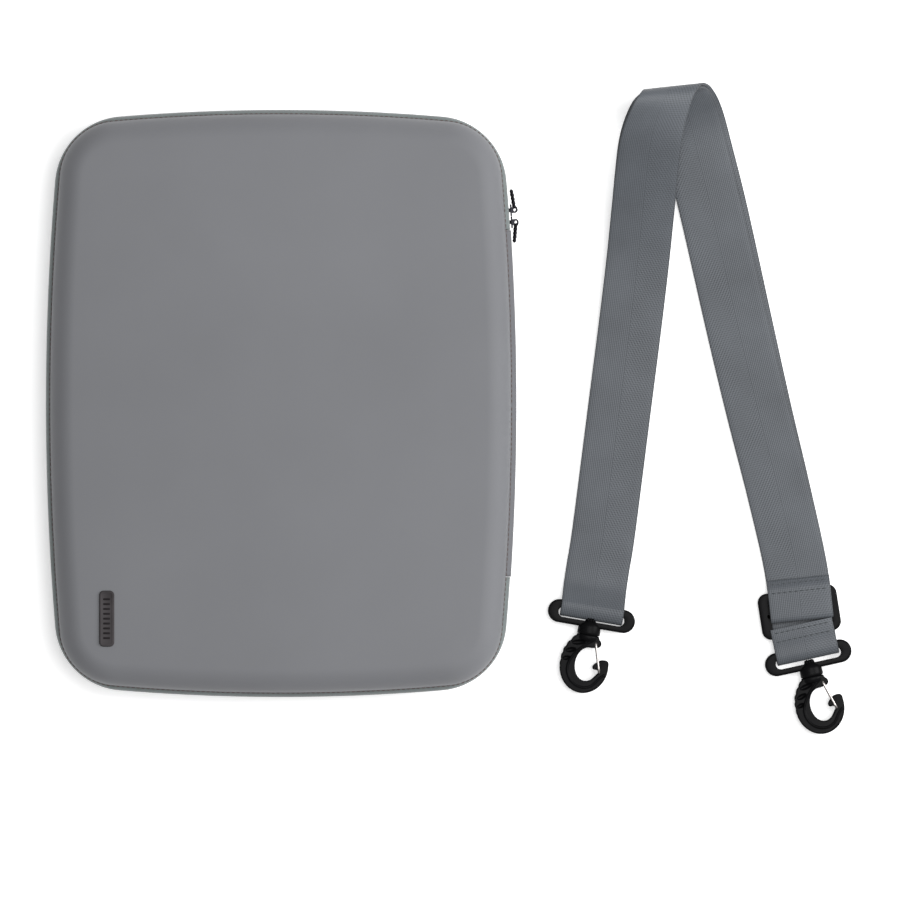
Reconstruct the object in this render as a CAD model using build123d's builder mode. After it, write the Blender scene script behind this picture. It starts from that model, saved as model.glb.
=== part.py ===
"""Hard-shell portfolio case with a detachable shoulder strap, lying flat on its back.

The origin is the centre of the case's flat back face. +X points to the spine side, +Y along the
long side, +Z up through the front shell. All sizes are in millimetres.
"""

from build123d import *
import math
import os

# ---- driving dimensions of the case ----
CASE_WIDTH = 281.6
CASE_LENGTH = 352.0
CASE_THICKNESS = 50.0
SIDE_BULGE = 8.8              # how far the long sides bow out at mid-length
END_BULGE = 7.5               # how far the short ends bow out at mid-width
CORNER_RADIUS = 42.0
MID_Z = CASE_THICKNESS / 2    # height at which the zipper closes

BAND_HEIGHT = 14.0            # fabric band between the two shells, zipper included
TAPE_THICKNESS = 1.2
TAPE_GAP = 0.8                # between the two tapes' edges, where the slider's post runs
COIL_THICKNESS = 1.2
COIL_HEIGHT = 1.15
BINDING_THICKNESS = 1.0
BINDING_WIDTH = 5.4
GUSSET_HALF_LENGTH = 104.0
END_GAP = 0.3                 # between the gusset's ends and the tapes' ends

SHELL_INSET = 2.7             # the shell's rim stands this far inside the band at mid-side
SHELL_CORNER_RADIUS = 35.0
SHELL_WALL = 2.5
SHELL_DRAFT = 8.0
SHELL_EDGE_ROUND = 11.5
LINING_THICKNESS = 0.9
LINING_GAP = 0.05

HINGE_X = 143.0               # the spine's bending line when the lid opens

# ---- zipper sliders and pulls ----
SLIDER_LENGTH = 7.0
SLIDER_PITCH = 7.2
UPPER_SLIDER_Y = 115.8
PLATE_STAND_OFF = 0.8
PLATE_THICKNESS = 1.0
PLATE_WIDTH = 5.4
POST_THICKNESS = 0.4
INNER_PLATE_DROP = 3.0        # how far the inner plate reaches down over the rear tape
RUNNING_GAP = 0.3
ARCH_CENTRE = 3.6
ARCH_RADIUS = 1.8
ARCH_HOLE_RADIUS = 0.8
ARCH_WIDTH = 1.8
PULL_BAR_RADIUS = 0.5
PULL_WIDTH = 4.4
PULL_LENGTH = 12.5
PULL_THICKNESS = 1.0

# ---- badge ----
BADGE_WIDTH = 9.0
BADGE_LENGTH = 33.5
BADGE_CORNER = 2.7
BADGE_THICKNESS = 1.4
BADGE_CENTRE = (-104.6, -129.3)

# ---- D-rings on the short ends of the rear shell ----
RING_WIRE_RADIUS = 1.0
RING_WIDTH = 20.0
RING_DEPTH = 9.0
RING_PIVOT_Z = 13.0
RING_PIVOT_Y = 173.9
RING_TAB_WIDTH = 13.0
RING_TAB_RADIUS = 1.75

# ---- inside ----
POCKET_THICKNESS = 0.7
POCKET_TOP_Y = 60.0
POCKET_INSET = 9.0
ELASTIC_WIDTH = 25.0
ELASTIC_THICKNESS = 1.2

# ---- strap ----
WEBBING_WIDTH = 38.0
WEBBING_THICKNESS = 1.4
STRAP_THICKNESS = 2 * WEBBING_THICKNESS
FLOOR_GAP = 0.1
STRAP_LAY_Z = FLOOR_GAP + STRAP_THICKNESS / 2
FIT_GAP = 0.3

# ---- swivel hooks ----
HOOK_Z = 6.0
FRAME_LENGTH = 53.0
FRAME_HEIGHT = 14.0
FRAME_THICKNESS = 5.0
SLOT_LENGTH = 40.0
SLOT_HEIGHT = 6.4
SLOT_CENTRE_Y = -0.2
BAR_Y = 5.0
BAR_WIDTH = 4.0
BARREL_RADIUS = 6.0
COLLAR_END_Y = -11.4
SWIVEL_GAP = 0.3
BARREL_END_Y = -15.6
SWIVEL_PIN_RADIUS = 2.0
SWIVEL_BORE_RADIUS = 2.08
PIN_HEAD_RADIUS = 3.4
PIN_HEAD_THICKNESS = 1.4
RING_CENTRE = (0.8, -29.6)
RING_INNER_RADIUS = 9.0
RING_OUTER_RADIUS = 15.6
HOOK_THICKNESS = 7.0
NOSE_THICKNESS = 5.0
GATE_PIVOT = (5.2, -16.0)
GATE_TIP = (10.0, -32.2)
GATE_WIRE_RADIUS = 0.5
GATE_BORE_RADIUS = 0.58
HOOK_A = ((186.5, -127.8), -9.7)     # frame centre and turn of hook A
HOOK_B = ((316.9, -152.9), 12.3)     # frame centre and turn of hook B

# ---- tri-glide adjuster ----
GLIDE_WIDTH = 48.0
GLIDE_HEIGHT = 28.0
GLIDE_THICKNESS = 3.0
GLIDE_CENTRE = (311.6, -125.4)
GLIDE_TURN = 8.9
GLIDE_Z = FLOOR_GAP + STRAP_THICKNESS + FIT_GAP
GLIDE_BAR = 4.0
TAIL_REACH = 20.5             # how far the sewn tail comes up past the middle bar

MID_PLANE = Plane.XY.offset(MID_Z)
BAND_TOP = MID_Z + BAND_HEIGHT / 2
SHELL_RIM_Z = BAND_TOP + BINDING_THICKNESS
SHELL_DEPTH = CASE_THICKNESS - SHELL_RIM_Z
CORNER_X = CASE_WIDTH / 2 - SIDE_BULGE
CORNER_Y = CASE_LENGTH / 2 - END_BULGE
SIDE_RADIUS = (CORNER_Y ** 2 + SIDE_BULGE ** 2) / (2 * SIDE_BULGE)

os.makedirs("parts", exist_ok=True)


def write(solid, name):
    """Label a finished piece and write its STEP file."""
    solid.label = name
    export_step(solid, f"parts/{name}.step")


def case_outline(z, inset=0.0, corner_radius=CORNER_RADIUS):
    """The case's bowed outline at height z, drawn inside its widest line by inset."""
    x = CORNER_X - inset
    y = CORNER_Y - inset
    with BuildSketch(Plane.XY.offset(z)) as outline:
        with BuildLine():
            ThreePointArc((x, -y), (CASE_WIDTH / 2 - inset, 0), (x, y))
            ThreePointArc((x, y), (0, CASE_LENGTH / 2 - inset), (-x, y))
            ThreePointArc((-x, y), (inset - CASE_WIDTH / 2, 0), (-x, -y))
            ThreePointArc((-x, -y), (0, inset - CASE_LENGTH / 2), (x, -y))
        make_face()
        fillet(outline.vertices(), corner_radius)
    return outline.sketch


def ring(z, height, outer_inset, inner_inset):
    """A closed band that follows the outline, between two insets."""
    with BuildPart() as band:
        extrude(case_outline(z, outer_inset, CORNER_RADIUS - outer_inset), amount=height)
        inner = case_outline(z, inner_inset, CORNER_RADIUS - inner_inset)
        extrude(inner, amount=height, mode=Mode.SUBTRACT)
    return band.part


def moulded_dome(shrink):
    """The front shell's outer form, shrunk evenly on every side but the open one."""
    with BuildPart() as dome:
        rim = case_outline(SHELL_RIM_Z, SHELL_INSET + shrink, SHELL_CORNER_RADIUS - shrink)
        extrude(rim, amount=SHELL_DEPTH - shrink, taper=SHELL_DRAFT)
        fillet(dome.faces().sort_by(Axis.Z)[-1].edges(), SHELL_EDGE_ROUND - shrink)
    return dome.part


def flipped(solid):
    """The rear half's copy of a piece of the front half."""
    with BuildPart() as copy:
        add(mirror(solid, about=MID_PLANE))
    return copy.part


def spine_box(half_length):
    """A block over the spine side, between the gusset's ends."""
    with BuildPart(Plane((HINGE_X, 0, MID_Z))) as block:
        Box(40, 2 * half_length, CASE_THICKNESS)
    return block.part


def side_plane(y):
    """Frame on the band's outer face at y: x out of the case, y along the zipper, z up."""
    angle = math.asin(y / SIDE_RADIUS)
    x = CASE_WIDTH / 2 - SIDE_RADIUS * (1 - math.cos(angle))
    return Plane((x, y, MID_Z), x_dir=(math.cos(angle), math.sin(angle), 0), z_dir=(0, 0, 1))


# ---- shells, linings and the stitched bindings on their rims ----
with BuildPart() as front_shell:
    add(moulded_dome(0))
    add(moulded_dome(SHELL_WALL), mode=Mode.SUBTRACT)
write(front_shell.part, "front_shell")
write(flipped(front_shell.part), "rear_shell")

with BuildPart() as front_lining:
    add(moulded_dome(SHELL_WALL + LINING_GAP))
    add(moulded_dome(SHELL_WALL + LINING_GAP + LINING_THICKNESS), mode=Mode.SUBTRACT)
write(front_lining.part, "front_lining")
write(flipped(front_lining.part), "rear_lining")

front_binding = ring(BAND_TOP, BINDING_THICKNESS, 0.3, 0.3 + BINDING_WIDTH)
write(front_binding, "front_binding")
write(flipped(front_binding), "rear_binding")

# ---- zipper tapes and coils: open along the spine, where the gusset takes their place ----
TAPE_HEIGHT = (BAND_HEIGHT - TAPE_GAP) / 2
COIL_Z = MID_Z + 0.35

with BuildPart() as front_zipper_tape:
    add(ring(MID_Z + TAPE_GAP / 2, TAPE_HEIGHT, 0, TAPE_THICKNESS))
    add(spine_box(GUSSET_HALF_LENGTH + END_GAP), mode=Mode.SUBTRACT)
write(front_zipper_tape.part, "front_zipper_tape")
write(flipped(front_zipper_tape.part), "rear_zipper_tape")

with BuildPart() as front_zipper_coil:
    add(ring(COIL_Z, COIL_HEIGHT, TAPE_THICKNESS, TAPE_THICKNESS + COIL_THICKNESS))
    add(spine_box(GUSSET_HALF_LENGTH + END_GAP), mode=Mode.SUBTRACT)
write(front_zipper_coil.part, "front_zipper_coil")
write(flipped(front_zipper_coil.part), "rear_zipper_coil")

with BuildPart() as spine_gusset:
    add(ring(MID_Z - BAND_HEIGHT / 2, BAND_HEIGHT, 0.3, 1.9))
    add(spine_box(GUSSET_HALF_LENGTH), mode=Mode.INTERSECT)
write(spine_gusset.part, "spine_gusset")

# Bottom stop: a crimped block on the rear coil at the zipper's far end.
with BuildPart(side_plane(-GUSSET_HALF_LENGTH - 1.6)) as zipper_bottom_stop:
    with Locations((-TAPE_THICKNESS - COIL_THICKNESS - 0.6, 0, -1.2)):
        Box(1.0, 2.0, 1.8)
write(zipper_bottom_stop.part, "zipper_bottom_stop")


# ---- zipper sliders and their pulls ----
def zipper_slider(y):
    """Outer plate with its arch, the post between the tapes, and the inner plate."""
    frame = side_plane(y)
    outer_face = PLATE_STAND_OFF + PLATE_THICKNESS
    inner_face = -TAPE_THICKNESS - COIL_THICKNESS - RUNNING_GAP
    with BuildPart(frame) as slider:
        with Locations(((PLATE_STAND_OFF + outer_face) / 2, 0, 0)):
            plate = Box(PLATE_THICKNESS, SLIDER_LENGTH, PLATE_WIDTH)
        fillet(plate.edges().filter_by(Axis((0, 0, 0), frame.x_dir)), 1.2)
        with Locations(((inner_face + PLATE_STAND_OFF) / 2, 0, 0)):
            Box(PLATE_STAND_OFF - inner_face + 0.4, 2.4, POST_THICKNESS)
        with Locations((inner_face - 0.4, 0, (POST_THICKNESS - INNER_PLATE_DROP) / 2)):
            Box(0.8, SLIDER_LENGTH - 1, INNER_PLATE_DROP)
        with Locations((ARCH_CENTRE, 0, 0)):
            Cylinder(ARCH_RADIUS, ARCH_WIDTH)
        with Locations(((outer_face + ARCH_CENTRE) / 2, 0, 0)):
            Box(ARCH_CENTRE - outer_face, 2 * ARCH_RADIUS, ARCH_WIDTH)
        with Locations((ARCH_CENTRE, 0, 0)):
            Cylinder(ARCH_HOLE_RADIUS, 2 * ARCH_WIDTH, mode=Mode.SUBTRACT)
    return slider.part


def zipper_pull(y, direction):
    """Pull tag: a bar through the arch, two side legs and a tag lying along the zipper."""
    leg_length = 3.6
    leg = 1.1
    side = (PULL_WIDTH - leg) / 2
    tag_length = PULL_LENGTH - leg_length
    with BuildPart(side_plane(y)) as pull:
        with Locations((ARCH_CENTRE, 0, 0)):
            Cylinder(PULL_BAR_RADIUS, PULL_WIDTH)
        with Locations(*[(ARCH_CENTRE, direction * leg_length / 2, side * end) for end in (-1, 1)]):
            Box(PULL_THICKNESS, leg_length + 2 * PULL_BAR_RADIUS, leg)
        with Locations((ARCH_CENTRE, direction * (leg_length + tag_length / 2), 0)):
            Box(PULL_THICKNESS, tag_length, PULL_WIDTH)
    return pull.part


for name, slider_y, direction in (
    ("upper", UPPER_SLIDER_Y, 1),
    ("lower", UPPER_SLIDER_Y - SLIDER_PITCH, -1),
):
    write(zipper_slider(slider_y), f"zipper_slider_{name}")
    write(zipper_pull(slider_y, direction), f"zipper_pull_{name}")

# ---- badge: a raised plate with a border, on the front shell's top face ----
with BuildPart() as badge:
    with BuildSketch(Plane((*BADGE_CENTRE, CASE_THICKNESS))):
        RectangleRounded(BADGE_WIDTH, BADGE_LENGTH, BADGE_CORNER)
    extrude(amount=BADGE_THICKNESS)
    with BuildSketch(Plane((*BADGE_CENTRE, CASE_THICKNESS + BADGE_THICKNESS))):
        RectangleRounded(BADGE_WIDTH - 2, BADGE_LENGTH - 2, BADGE_CORNER - 1)
    extrude(amount=-0.5, mode=Mode.SUBTRACT)
write(badge.part, "badge")


# ---- D-rings in webbing tabs on the short ends ----
def ring_tab(end):
    """Webbing folded round the ring's bar and sewn up under the binding."""
    y = end * RING_PIVOT_Y
    top = MID_Z - BAND_HEIGHT / 2 - BINDING_THICKNESS
    with BuildPart() as tab:
        with BuildSketch(Plane.YZ.offset(-RING_TAB_WIDTH / 2)):
            with Locations((y, RING_PIVOT_Z)):
                Circle(RING_TAB_RADIUS)
            with Locations((y, (RING_PIVOT_Z + top) / 2)):
                Rectangle(2 * RING_TAB_RADIUS, top - RING_PIVOT_Z)
            with Locations((y, RING_PIVOT_Z)):
                Circle(RING_WIRE_RADIUS + 0.08, mode=Mode.SUBTRACT)
        extrude(amount=RING_TAB_WIDTH)
        add(flipped(moulded_dome(-0.05)), mode=Mode.SUBTRACT)
    return tab.part


def d_ring(end):
    """Wire D: a straight bar in the tab and a rounded bow hanging below it."""
    half = RING_WIDTH / 2 - RING_WIRE_RADIUS
    low = RING_PIVOT_Z - RING_DEPTH
    corner = 5.0
    with BuildPart() as wire:
        with BuildLine(Plane.XZ.offset(-end * RING_PIVOT_Y)) as path:
            Polyline(
                (-half, RING_PIVOT_Z), (half, RING_PIVOT_Z), (half, low), (-half, low),
                close=True,
            )
            fillet(path.vertices().group_by(Axis.Z)[0], corner)
            fillet(path.vertices().group_by(Axis.Z)[-1], 1.5)
        loop = path.wire()
        with BuildSketch(Plane(loop @ 0, z_dir=loop % 0)):
            Circle(RING_WIRE_RADIUS)
        sweep(path=loop)
    return wire.part


for name, end in (("top", 1), ("bottom", -1)):
    write(ring_tab(end), f"d_ring_tab_{name}")
    write(d_ring(end), f"d_ring_{name}")

# ---- inside: a flat mesh pocket in the lid and an elastic band across the base ----
POCKET_Z = SHELL_RIM_Z + 1.2

with BuildPart() as lid_pocket:
    extrude(case_outline(POCKET_Z, POCKET_INSET, CORNER_RADIUS - POCKET_INSET), amount=POCKET_THICKNESS)
    split(bisect_by=Plane.XZ.offset(-POCKET_TOP_Y), keep=Keep.TOP)
write(lid_pocket.part, "lid_pocket")

with BuildPart(Plane((0, POCKET_TOP_Y + 2.2, POCKET_Z + POCKET_THICKNESS / 2))) as pocket_binding:
    Box(CASE_WIDTH - 2 * POCKET_INSET - 8, 4, 1.6)
write(pocket_binding.part, "lid_pocket_binding")

LINING_FLOOR = SHELL_WALL + LINING_GAP + LINING_THICKNESS
ELASTIC_Z = LINING_FLOOR + 9.0
ELASTIC_END_X = 128.0
with BuildPart() as elastic_band:
    with Locations((0, 0, ELASTIC_Z)):
        Box(2 * ELASTIC_END_X, ELASTIC_WIDTH, ELASTIC_THICKNESS)
write(elastic_band.part, "base_elastic_band")


# ---- swivel hooks ----
def hook_plane(hook, y=0.0):
    """A hook's own frame: x along its slot, y towards the webbing, z up, at mid-thickness."""
    centre, turn = hook
    x_dir = (math.cos(math.radians(turn)), math.sin(math.radians(turn)), 0)
    frame = Plane((*centre, HOOK_Z), x_dir=x_dir, z_dir=(0, 0, 1))
    return Plane(frame.from_local_coords(Vector(0, y, 0)), x_dir=x_dir, z_dir=(0, 0, 1))


def across(hook, y):
    """Plane square to a hook's swivel axis, at y in the hook's frame."""
    frame = hook_plane(hook, y)
    return Plane(frame.origin, x_dir=frame.x_dir, z_dir=frame.y_dir)


def hook_loop(hook):
    """Slot frame for the webbing, its collar, and the swivel pin with its head."""
    pin_end = BARREL_END_Y - SWIVEL_GAP - PIN_HEAD_THICKNESS
    with BuildPart() as loop:
        with BuildSketch(hook_plane(hook)) as profile:
            SlotOverall(FRAME_LENGTH, FRAME_HEIGHT)
            with Locations((0, SLOT_CENTRE_Y)):
                RectangleRounded(SLOT_LENGTH, SLOT_HEIGHT, 2, mode=Mode.SUBTRACT)
        extrude(amount=FRAME_THICKNESS / 2, both=True)
        with BuildSketch(across(hook, COLLAR_END_Y)):
            Circle(BARREL_RADIUS)
        extrude(amount=-4.4 - COLLAR_END_Y)
        with BuildSketch(across(hook, pin_end)):
            Circle(SWIVEL_PIN_RADIUS)
        extrude(amount=COLLAR_END_Y - pin_end)
        with BuildSketch(across(hook, pin_end)):
            Circle(PIN_HEAD_RADIUS)
        extrude(amount=PIN_HEAD_THICKNESS)
    return loop.part


def hook_body(hook):
    """Turning barrel and the open hook, thinned on the gate's side for the wires."""
    barrel_top = COLLAR_END_Y - SWIVEL_GAP
    head_room = 7.0
    with BuildPart() as body:
        with BuildSketch(hook_plane(hook)) as bow:
            with Locations(RING_CENTRE):
                Circle(RING_OUTER_RADIUS)
            with Locations((0.6, -17.2)):
                Rectangle(13.4, 6.4)
            with Locations(RING_CENTRE):
                Circle(RING_INNER_RADIUS, mode=Mode.SUBTRACT)
            with Locations((13.0, -21.6)):
                Rectangle(13.0, 11.6, mode=Mode.SUBTRACT)
        extrude(amount=HOOK_THICKNESS / 2, both=True)
        with BuildSketch(across(hook, BARREL_END_Y)):
            Circle(BARREL_RADIUS)
        extrude(amount=barrel_top - BARREL_END_Y)
        for side in (-1, 1):
            with BuildSketch(hook_plane(hook).offset(side * NOSE_THICKNESS / 2)):
                with Locations((10.6, -25.0)):
                    Rectangle(14.4, 21.0)
            extrude(amount=side * BARREL_RADIUS, mode=Mode.SUBTRACT)
        with BuildSketch(across(hook, barrel_top)):
            Circle(SWIVEL_BORE_RADIUS)
        extrude(amount=-head_room, mode=Mode.SUBTRACT)
        with BuildSketch(across(hook, BARREL_END_Y)):
            Circle(PIN_HEAD_RADIUS + SWIVEL_GAP)
        extrude(amount=-head_room, mode=Mode.SUBTRACT)
        with BuildSketch(hook_plane(hook)):
            with Locations(GATE_PIVOT):
                Circle(GATE_BORE_RADIUS)
            with Locations(GATE_TIP):
                Circle(GATE_WIRE_RADIUS + 0.5)
        extrude(amount=BARREL_RADIUS, both=True, mode=Mode.SUBTRACT)
    return body.part


def hook_gate(hook):
    """Wire gate: pivot pin, two side wires and the closed end in the nose's notch."""
    wire_z = NOSE_THICKNESS / 2 + FIT_GAP + GATE_WIRE_RADIUS
    frame = hook_plane(hook)
    reach = Vector(GATE_TIP[0] - GATE_PIVOT[0], GATE_TIP[1] - GATE_PIVOT[1], 0)
    with BuildPart() as gate:
        with BuildSketch(frame):
            with Locations(GATE_PIVOT, GATE_TIP):
                Circle(GATE_WIRE_RADIUS)
        extrude(amount=wire_z, both=True)
        for side in (-1, 1):
            start = frame.from_local_coords(Vector(*GATE_PIVOT, side * wire_z))
            finish = frame.from_local_coords(Vector(*GATE_TIP, side * wire_z))
            with BuildSketch(Plane(start, z_dir=finish - start)):
                Circle(GATE_WIRE_RADIUS)
            extrude(amount=reach.length)
            with Locations(start, finish):
                Sphere(GATE_WIRE_RADIUS)
    return gate.part


for name, hook in (("a", HOOK_A), ("b", HOOK_B)):
    write(hook_loop(hook), f"hook_{name}_loop")
    write(hook_body(hook), f"hook_{name}_body")
    write(hook_gate(hook), f"hook_{name}_gate")

# ---- tri-glide adjuster and the sewn tail that it carries ----
glide_x_dir = (math.cos(math.radians(GLIDE_TURN)), math.sin(math.radians(GLIDE_TURN)), 0)
glide_plane = Plane((*GLIDE_CENTRE, GLIDE_Z), x_dir=glide_x_dir, z_dir=(0, 0, 1))
glide_window = (GLIDE_HEIGHT - 3 * GLIDE_BAR) / 2

with BuildPart() as strap_adjuster:
    with BuildSketch(glide_plane):
        RectangleRounded(GLIDE_WIDTH, GLIDE_HEIGHT, 5)
        with Locations(*[(0, side * (glide_window + GLIDE_BAR) / 2) for side in (-1, 1)]):
            RectangleRounded(WEBBING_WIDTH + 1, glide_window, 1.5, mode=Mode.SUBTRACT)
    extrude(amount=GLIDE_THICKNESS)
write(strap_adjuster.part, "strap_adjuster")

tail_side = Plane(glide_plane.origin, x_dir=glide_plane.y_dir, z_dir=glide_plane.x_dir)
with BuildPart() as strap_tail:
    with BuildSketch(tail_side.offset(-WEBBING_WIDTH / 2)):
        with BuildLine():
            top = GLIDE_THICKNESS + FIT_GAP
            Polyline(
                (-GLIDE_BAR / 2, top), (GLIDE_HEIGHT / 2, top), (TAIL_REACH - 2, 0.2), (TAIL_REACH + 4, 0.2),
                (TAIL_REACH + 4, 0.2 + WEBBING_THICKNESS), (TAIL_REACH - 1.5, 0.2 + WEBBING_THICKNESS),
                (GLIDE_HEIGHT / 2 + 0.5, top + WEBBING_THICKNESS), (-GLIDE_BAR / 2, top + WEBBING_THICKNESS),
                close=True,
            )
        make_face()
    extrude(amount=WEBBING_WIDTH)
write(strap_tail.part, "strap_tail")

# ---- doubled webbing: a leg from hook A, a standing loop, and a leg back to hook B ----
RULING = Vector(math.cos(math.radians(2.9)), math.sin(math.radians(2.9)), 0)
LEG_A_DIR = Vector(0.118, 0.993, 0)
LEG_B_DIR = Vector(0.216, -0.976, 0)


def bar_centre(hook):
    """Middle of a hook's slot bar, where the webbing goes round it."""
    return hook_plane(hook, BAR_Y).origin


def hook_eye(hook):
    """The webbing's turn round a hook's slot bar."""
    frame = hook_plane(hook, BAR_Y)
    side = Plane(frame.origin - frame.x_dir * WEBBING_WIDTH / 2, x_dir=frame.y_dir, z_dir=frame.x_dir)
    room_y = BAR_WIDTH + 2 * FIT_GAP
    room_z = FRAME_THICKNESS + 2 * FIT_GAP
    with BuildPart() as eye:
        with BuildSketch(side):
            RectangleRounded(room_y + 2 * WEBBING_THICKNESS, room_z + 2 * WEBBING_THICKNESS, 2.6)
            RectangleRounded(room_y, room_z, 1.2, mode=Mode.SUBTRACT)
        extrude(amount=WEBBING_WIDTH)
    return eye.part


def webbing_section(point, along, across_dir, width=WEBBING_WIDTH):
    """One section of the doubled webbing, square to its run as seen along its width."""
    across_dir = across_dir.normalized()
    run = (along - across_dir * along.dot(across_dir)).normalized()
    with BuildSketch(Plane(point, x_dir=across_dir, z_dir=run)) as section:
        Rectangle(width, STRAP_THICKNESS)
    return section.sketch


leg_a_start = bar_centre(HOOK_A) + hook_plane(HOOK_A).y_dir * 3.0
leg_a_floor = Vector(191.2, -99.0, STRAP_LAY_Z)
leg_a_rise = Vector(207.2, 36.0, STRAP_LAY_Z)
loop_shoulder = Vector(221.3, 157.0, 40.0)
loop_top = Vector(226.6, 177.0, 46.5)
loop_nose = Vector(234.6, 190.5, 26.0)
loop_heel = Vector(245.5, 168.0, 3.2)
leg_b_floor = Vector(252.3, 139.0, STRAP_LAY_Z)
leg_b_middle = Vector(284.6, -9.9, STRAP_LAY_Z)
leg_b_knee = Vector(308.0, -99.9, STRAP_LAY_Z)
leg_b_low = Vector(314.2, -139.8, STRAP_LAY_Z)
leg_b_end = bar_centre(HOOK_B) + hook_plane(HOOK_B).y_dir * 3.0

loop_line = Spline(
    leg_a_rise, loop_shoulder, loop_top, loop_nose, loop_heel, leg_b_floor,
    tangents=(LEG_A_DIR, LEG_B_DIR),
)
LOOP_STEPS = 26
LEG_A_ACROSS = Vector(LEG_A_DIR.Y, -LEG_A_DIR.X, 0)
LEG_B_ACROSS = Vector(-LEG_B_DIR.Y, LEG_B_DIR.X, 0)

sections = [
    webbing_section(leg_a_start, hook_plane(HOOK_A).y_dir, hook_plane(HOOK_A).x_dir),
    webbing_section(leg_a_floor, LEG_A_DIR, LEG_A_ACROSS),
    webbing_section(leg_a_rise, LEG_A_DIR, LEG_A_ACROSS),
]
for step in range(1, LOOP_STEPS):
    share = step / LOOP_STEPS
    turned = min(1.0, 3 * share, 3 * (1 - share))
    level = LEG_A_ACROSS if share < 0.5 else LEG_B_ACROSS
    across_dir = level * (1 - turned) + RULING * turned
    sections.append(webbing_section(loop_line @ share, loop_line % share, across_dir, WEBBING_WIDTH + 0.6 * turned))
sections += [
    webbing_section(leg_b_floor, LEG_B_DIR, LEG_B_ACROSS),
    webbing_section(leg_b_middle, LEG_B_DIR, LEG_B_ACROSS),
    webbing_section(leg_b_knee, leg_b_low - leg_b_knee, glide_plane.x_dir),
    webbing_section(leg_b_low, leg_b_low - leg_b_knee, glide_plane.x_dir),
    webbing_section(leg_b_end, hook_plane(HOOK_B).y_dir * -1, hook_plane(HOOK_B).x_dir),
]

with BuildPart() as strap_webbing:
    loft(sections, ruled=True)
    add(hook_eye(HOOK_A))
    add(hook_eye(HOOK_B))
write(strap_webbing.part, "strap_webbing")
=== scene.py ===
"""Portfolio case with a detached shoulder strap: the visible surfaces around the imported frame.

Lengths are in metres, in the frame's axes: +X to the spine side, +Y along the case, +Z up.
"""

import math

import bmesh
import bpy
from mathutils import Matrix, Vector


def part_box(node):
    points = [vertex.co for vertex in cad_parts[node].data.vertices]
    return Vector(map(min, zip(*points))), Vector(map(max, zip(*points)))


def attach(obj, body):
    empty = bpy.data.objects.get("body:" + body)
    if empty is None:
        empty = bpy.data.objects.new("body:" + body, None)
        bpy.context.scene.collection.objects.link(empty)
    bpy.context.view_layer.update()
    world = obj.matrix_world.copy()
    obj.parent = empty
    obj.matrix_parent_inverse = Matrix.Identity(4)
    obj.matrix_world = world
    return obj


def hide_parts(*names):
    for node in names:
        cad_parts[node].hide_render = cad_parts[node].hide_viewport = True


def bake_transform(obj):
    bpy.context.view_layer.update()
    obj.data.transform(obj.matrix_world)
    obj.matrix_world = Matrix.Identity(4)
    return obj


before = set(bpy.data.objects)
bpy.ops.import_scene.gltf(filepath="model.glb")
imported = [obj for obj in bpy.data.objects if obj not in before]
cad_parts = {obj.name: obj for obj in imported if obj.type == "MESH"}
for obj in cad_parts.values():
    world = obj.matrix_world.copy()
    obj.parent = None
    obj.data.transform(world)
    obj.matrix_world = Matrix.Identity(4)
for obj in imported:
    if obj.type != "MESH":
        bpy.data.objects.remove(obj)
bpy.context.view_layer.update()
MM = 0.001
WEBBING_WIDTH = 38.0 * MM
LAYER = 1.3 * MM


# ---------------------------------------------------------------- mesh helpers
def new_object(name, verts, faces, uvs=None):
    """A smooth-shaded mesh object; uvs is one (u, v) pair per vertex."""
    mesh = bpy.data.meshes.new(name)
    mesh.from_pydata([tuple(v) for v in verts], [], faces)
    if uvs is not None:
        layer = mesh.uv_layers.new(name="UVMap")
        for loop in mesh.loops:
            layer.data[loop.index].uv = uvs[loop.vertex_index]
    mesh.polygons.foreach_set("use_smooth", [True] * len(mesh.polygons))
    mesh.update()
    obj = bpy.data.objects.new(name, mesh)
    bpy.context.scene.collection.objects.link(obj)
    return obj


def tidy_mesh(obj):
    """Weld coincident points and turn all faces outwards."""
    bm = bmesh.new()
    bm.from_mesh(obj.data)
    bmesh.ops.remove_doubles(bm, verts=bm.verts, dist=1e-6)
    bmesh.ops.recalc_face_normals(bm, faces=bm.faces)
    bm.to_mesh(obj.data)
    bm.free()
    return obj


def joined(name, objs):
    """One object made of several, keeping their materials."""
    bpy.ops.object.select_all(action="DESELECT")
    for obj in objs:
        obj.select_set(True)
    bpy.context.view_layer.objects.active = objs[0]
    bpy.ops.object.join()
    objs[0].name = name
    objs[0].data.name = name
    return objs[0]


def modified(obj, kind, **settings):
    """Add a modifier and apply it."""
    modifier = obj.modifiers.new(kind.lower(), kind)
    for key, value in settings.items():
        setattr(modifier, key, value)
    bpy.context.view_layer.update()
    evaluated = obj.evaluated_get(bpy.context.evaluated_depsgraph_get())
    mesh = bpy.data.meshes.new_from_object(evaluated)
    obj.modifiers.clear()
    obj.data = mesh
    return obj


def circle(count):
    """(cos, sin) of count evenly spaced angles, from 0 once round."""
    angles = [2 * math.pi * j / count for j in range(count)]
    return [(math.cos(a), math.sin(a)) for a in angles]


def arc(centre, radii, start, end, steps, skip=0):
    """Points on an elliptical arc between two angles in degrees, without the first skip ones."""
    angles = [math.radians(start + (end - start) * i / steps) for i in range(skip, steps + 1)]
    return [(centre[0] + radii[0] * math.cos(a), centre[1] + radii[1] * math.sin(a)) for a in angles]


def level(shape, z):
    """A flat ring at a height."""
    return [Vector((x, y, z)) for x, y in shape]


def skin(base, rings, count):
    """Faces between rings of count points, the first ring starting at vertex base."""
    faces = []
    for i in range(rings - 1):
        a, b = base + i * count, base + (i + 1) * count
        for j in range(count):
            k = (j + 1) % count
            faces.append((a + j, a + k, b + k, b + j))
    return faces


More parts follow.
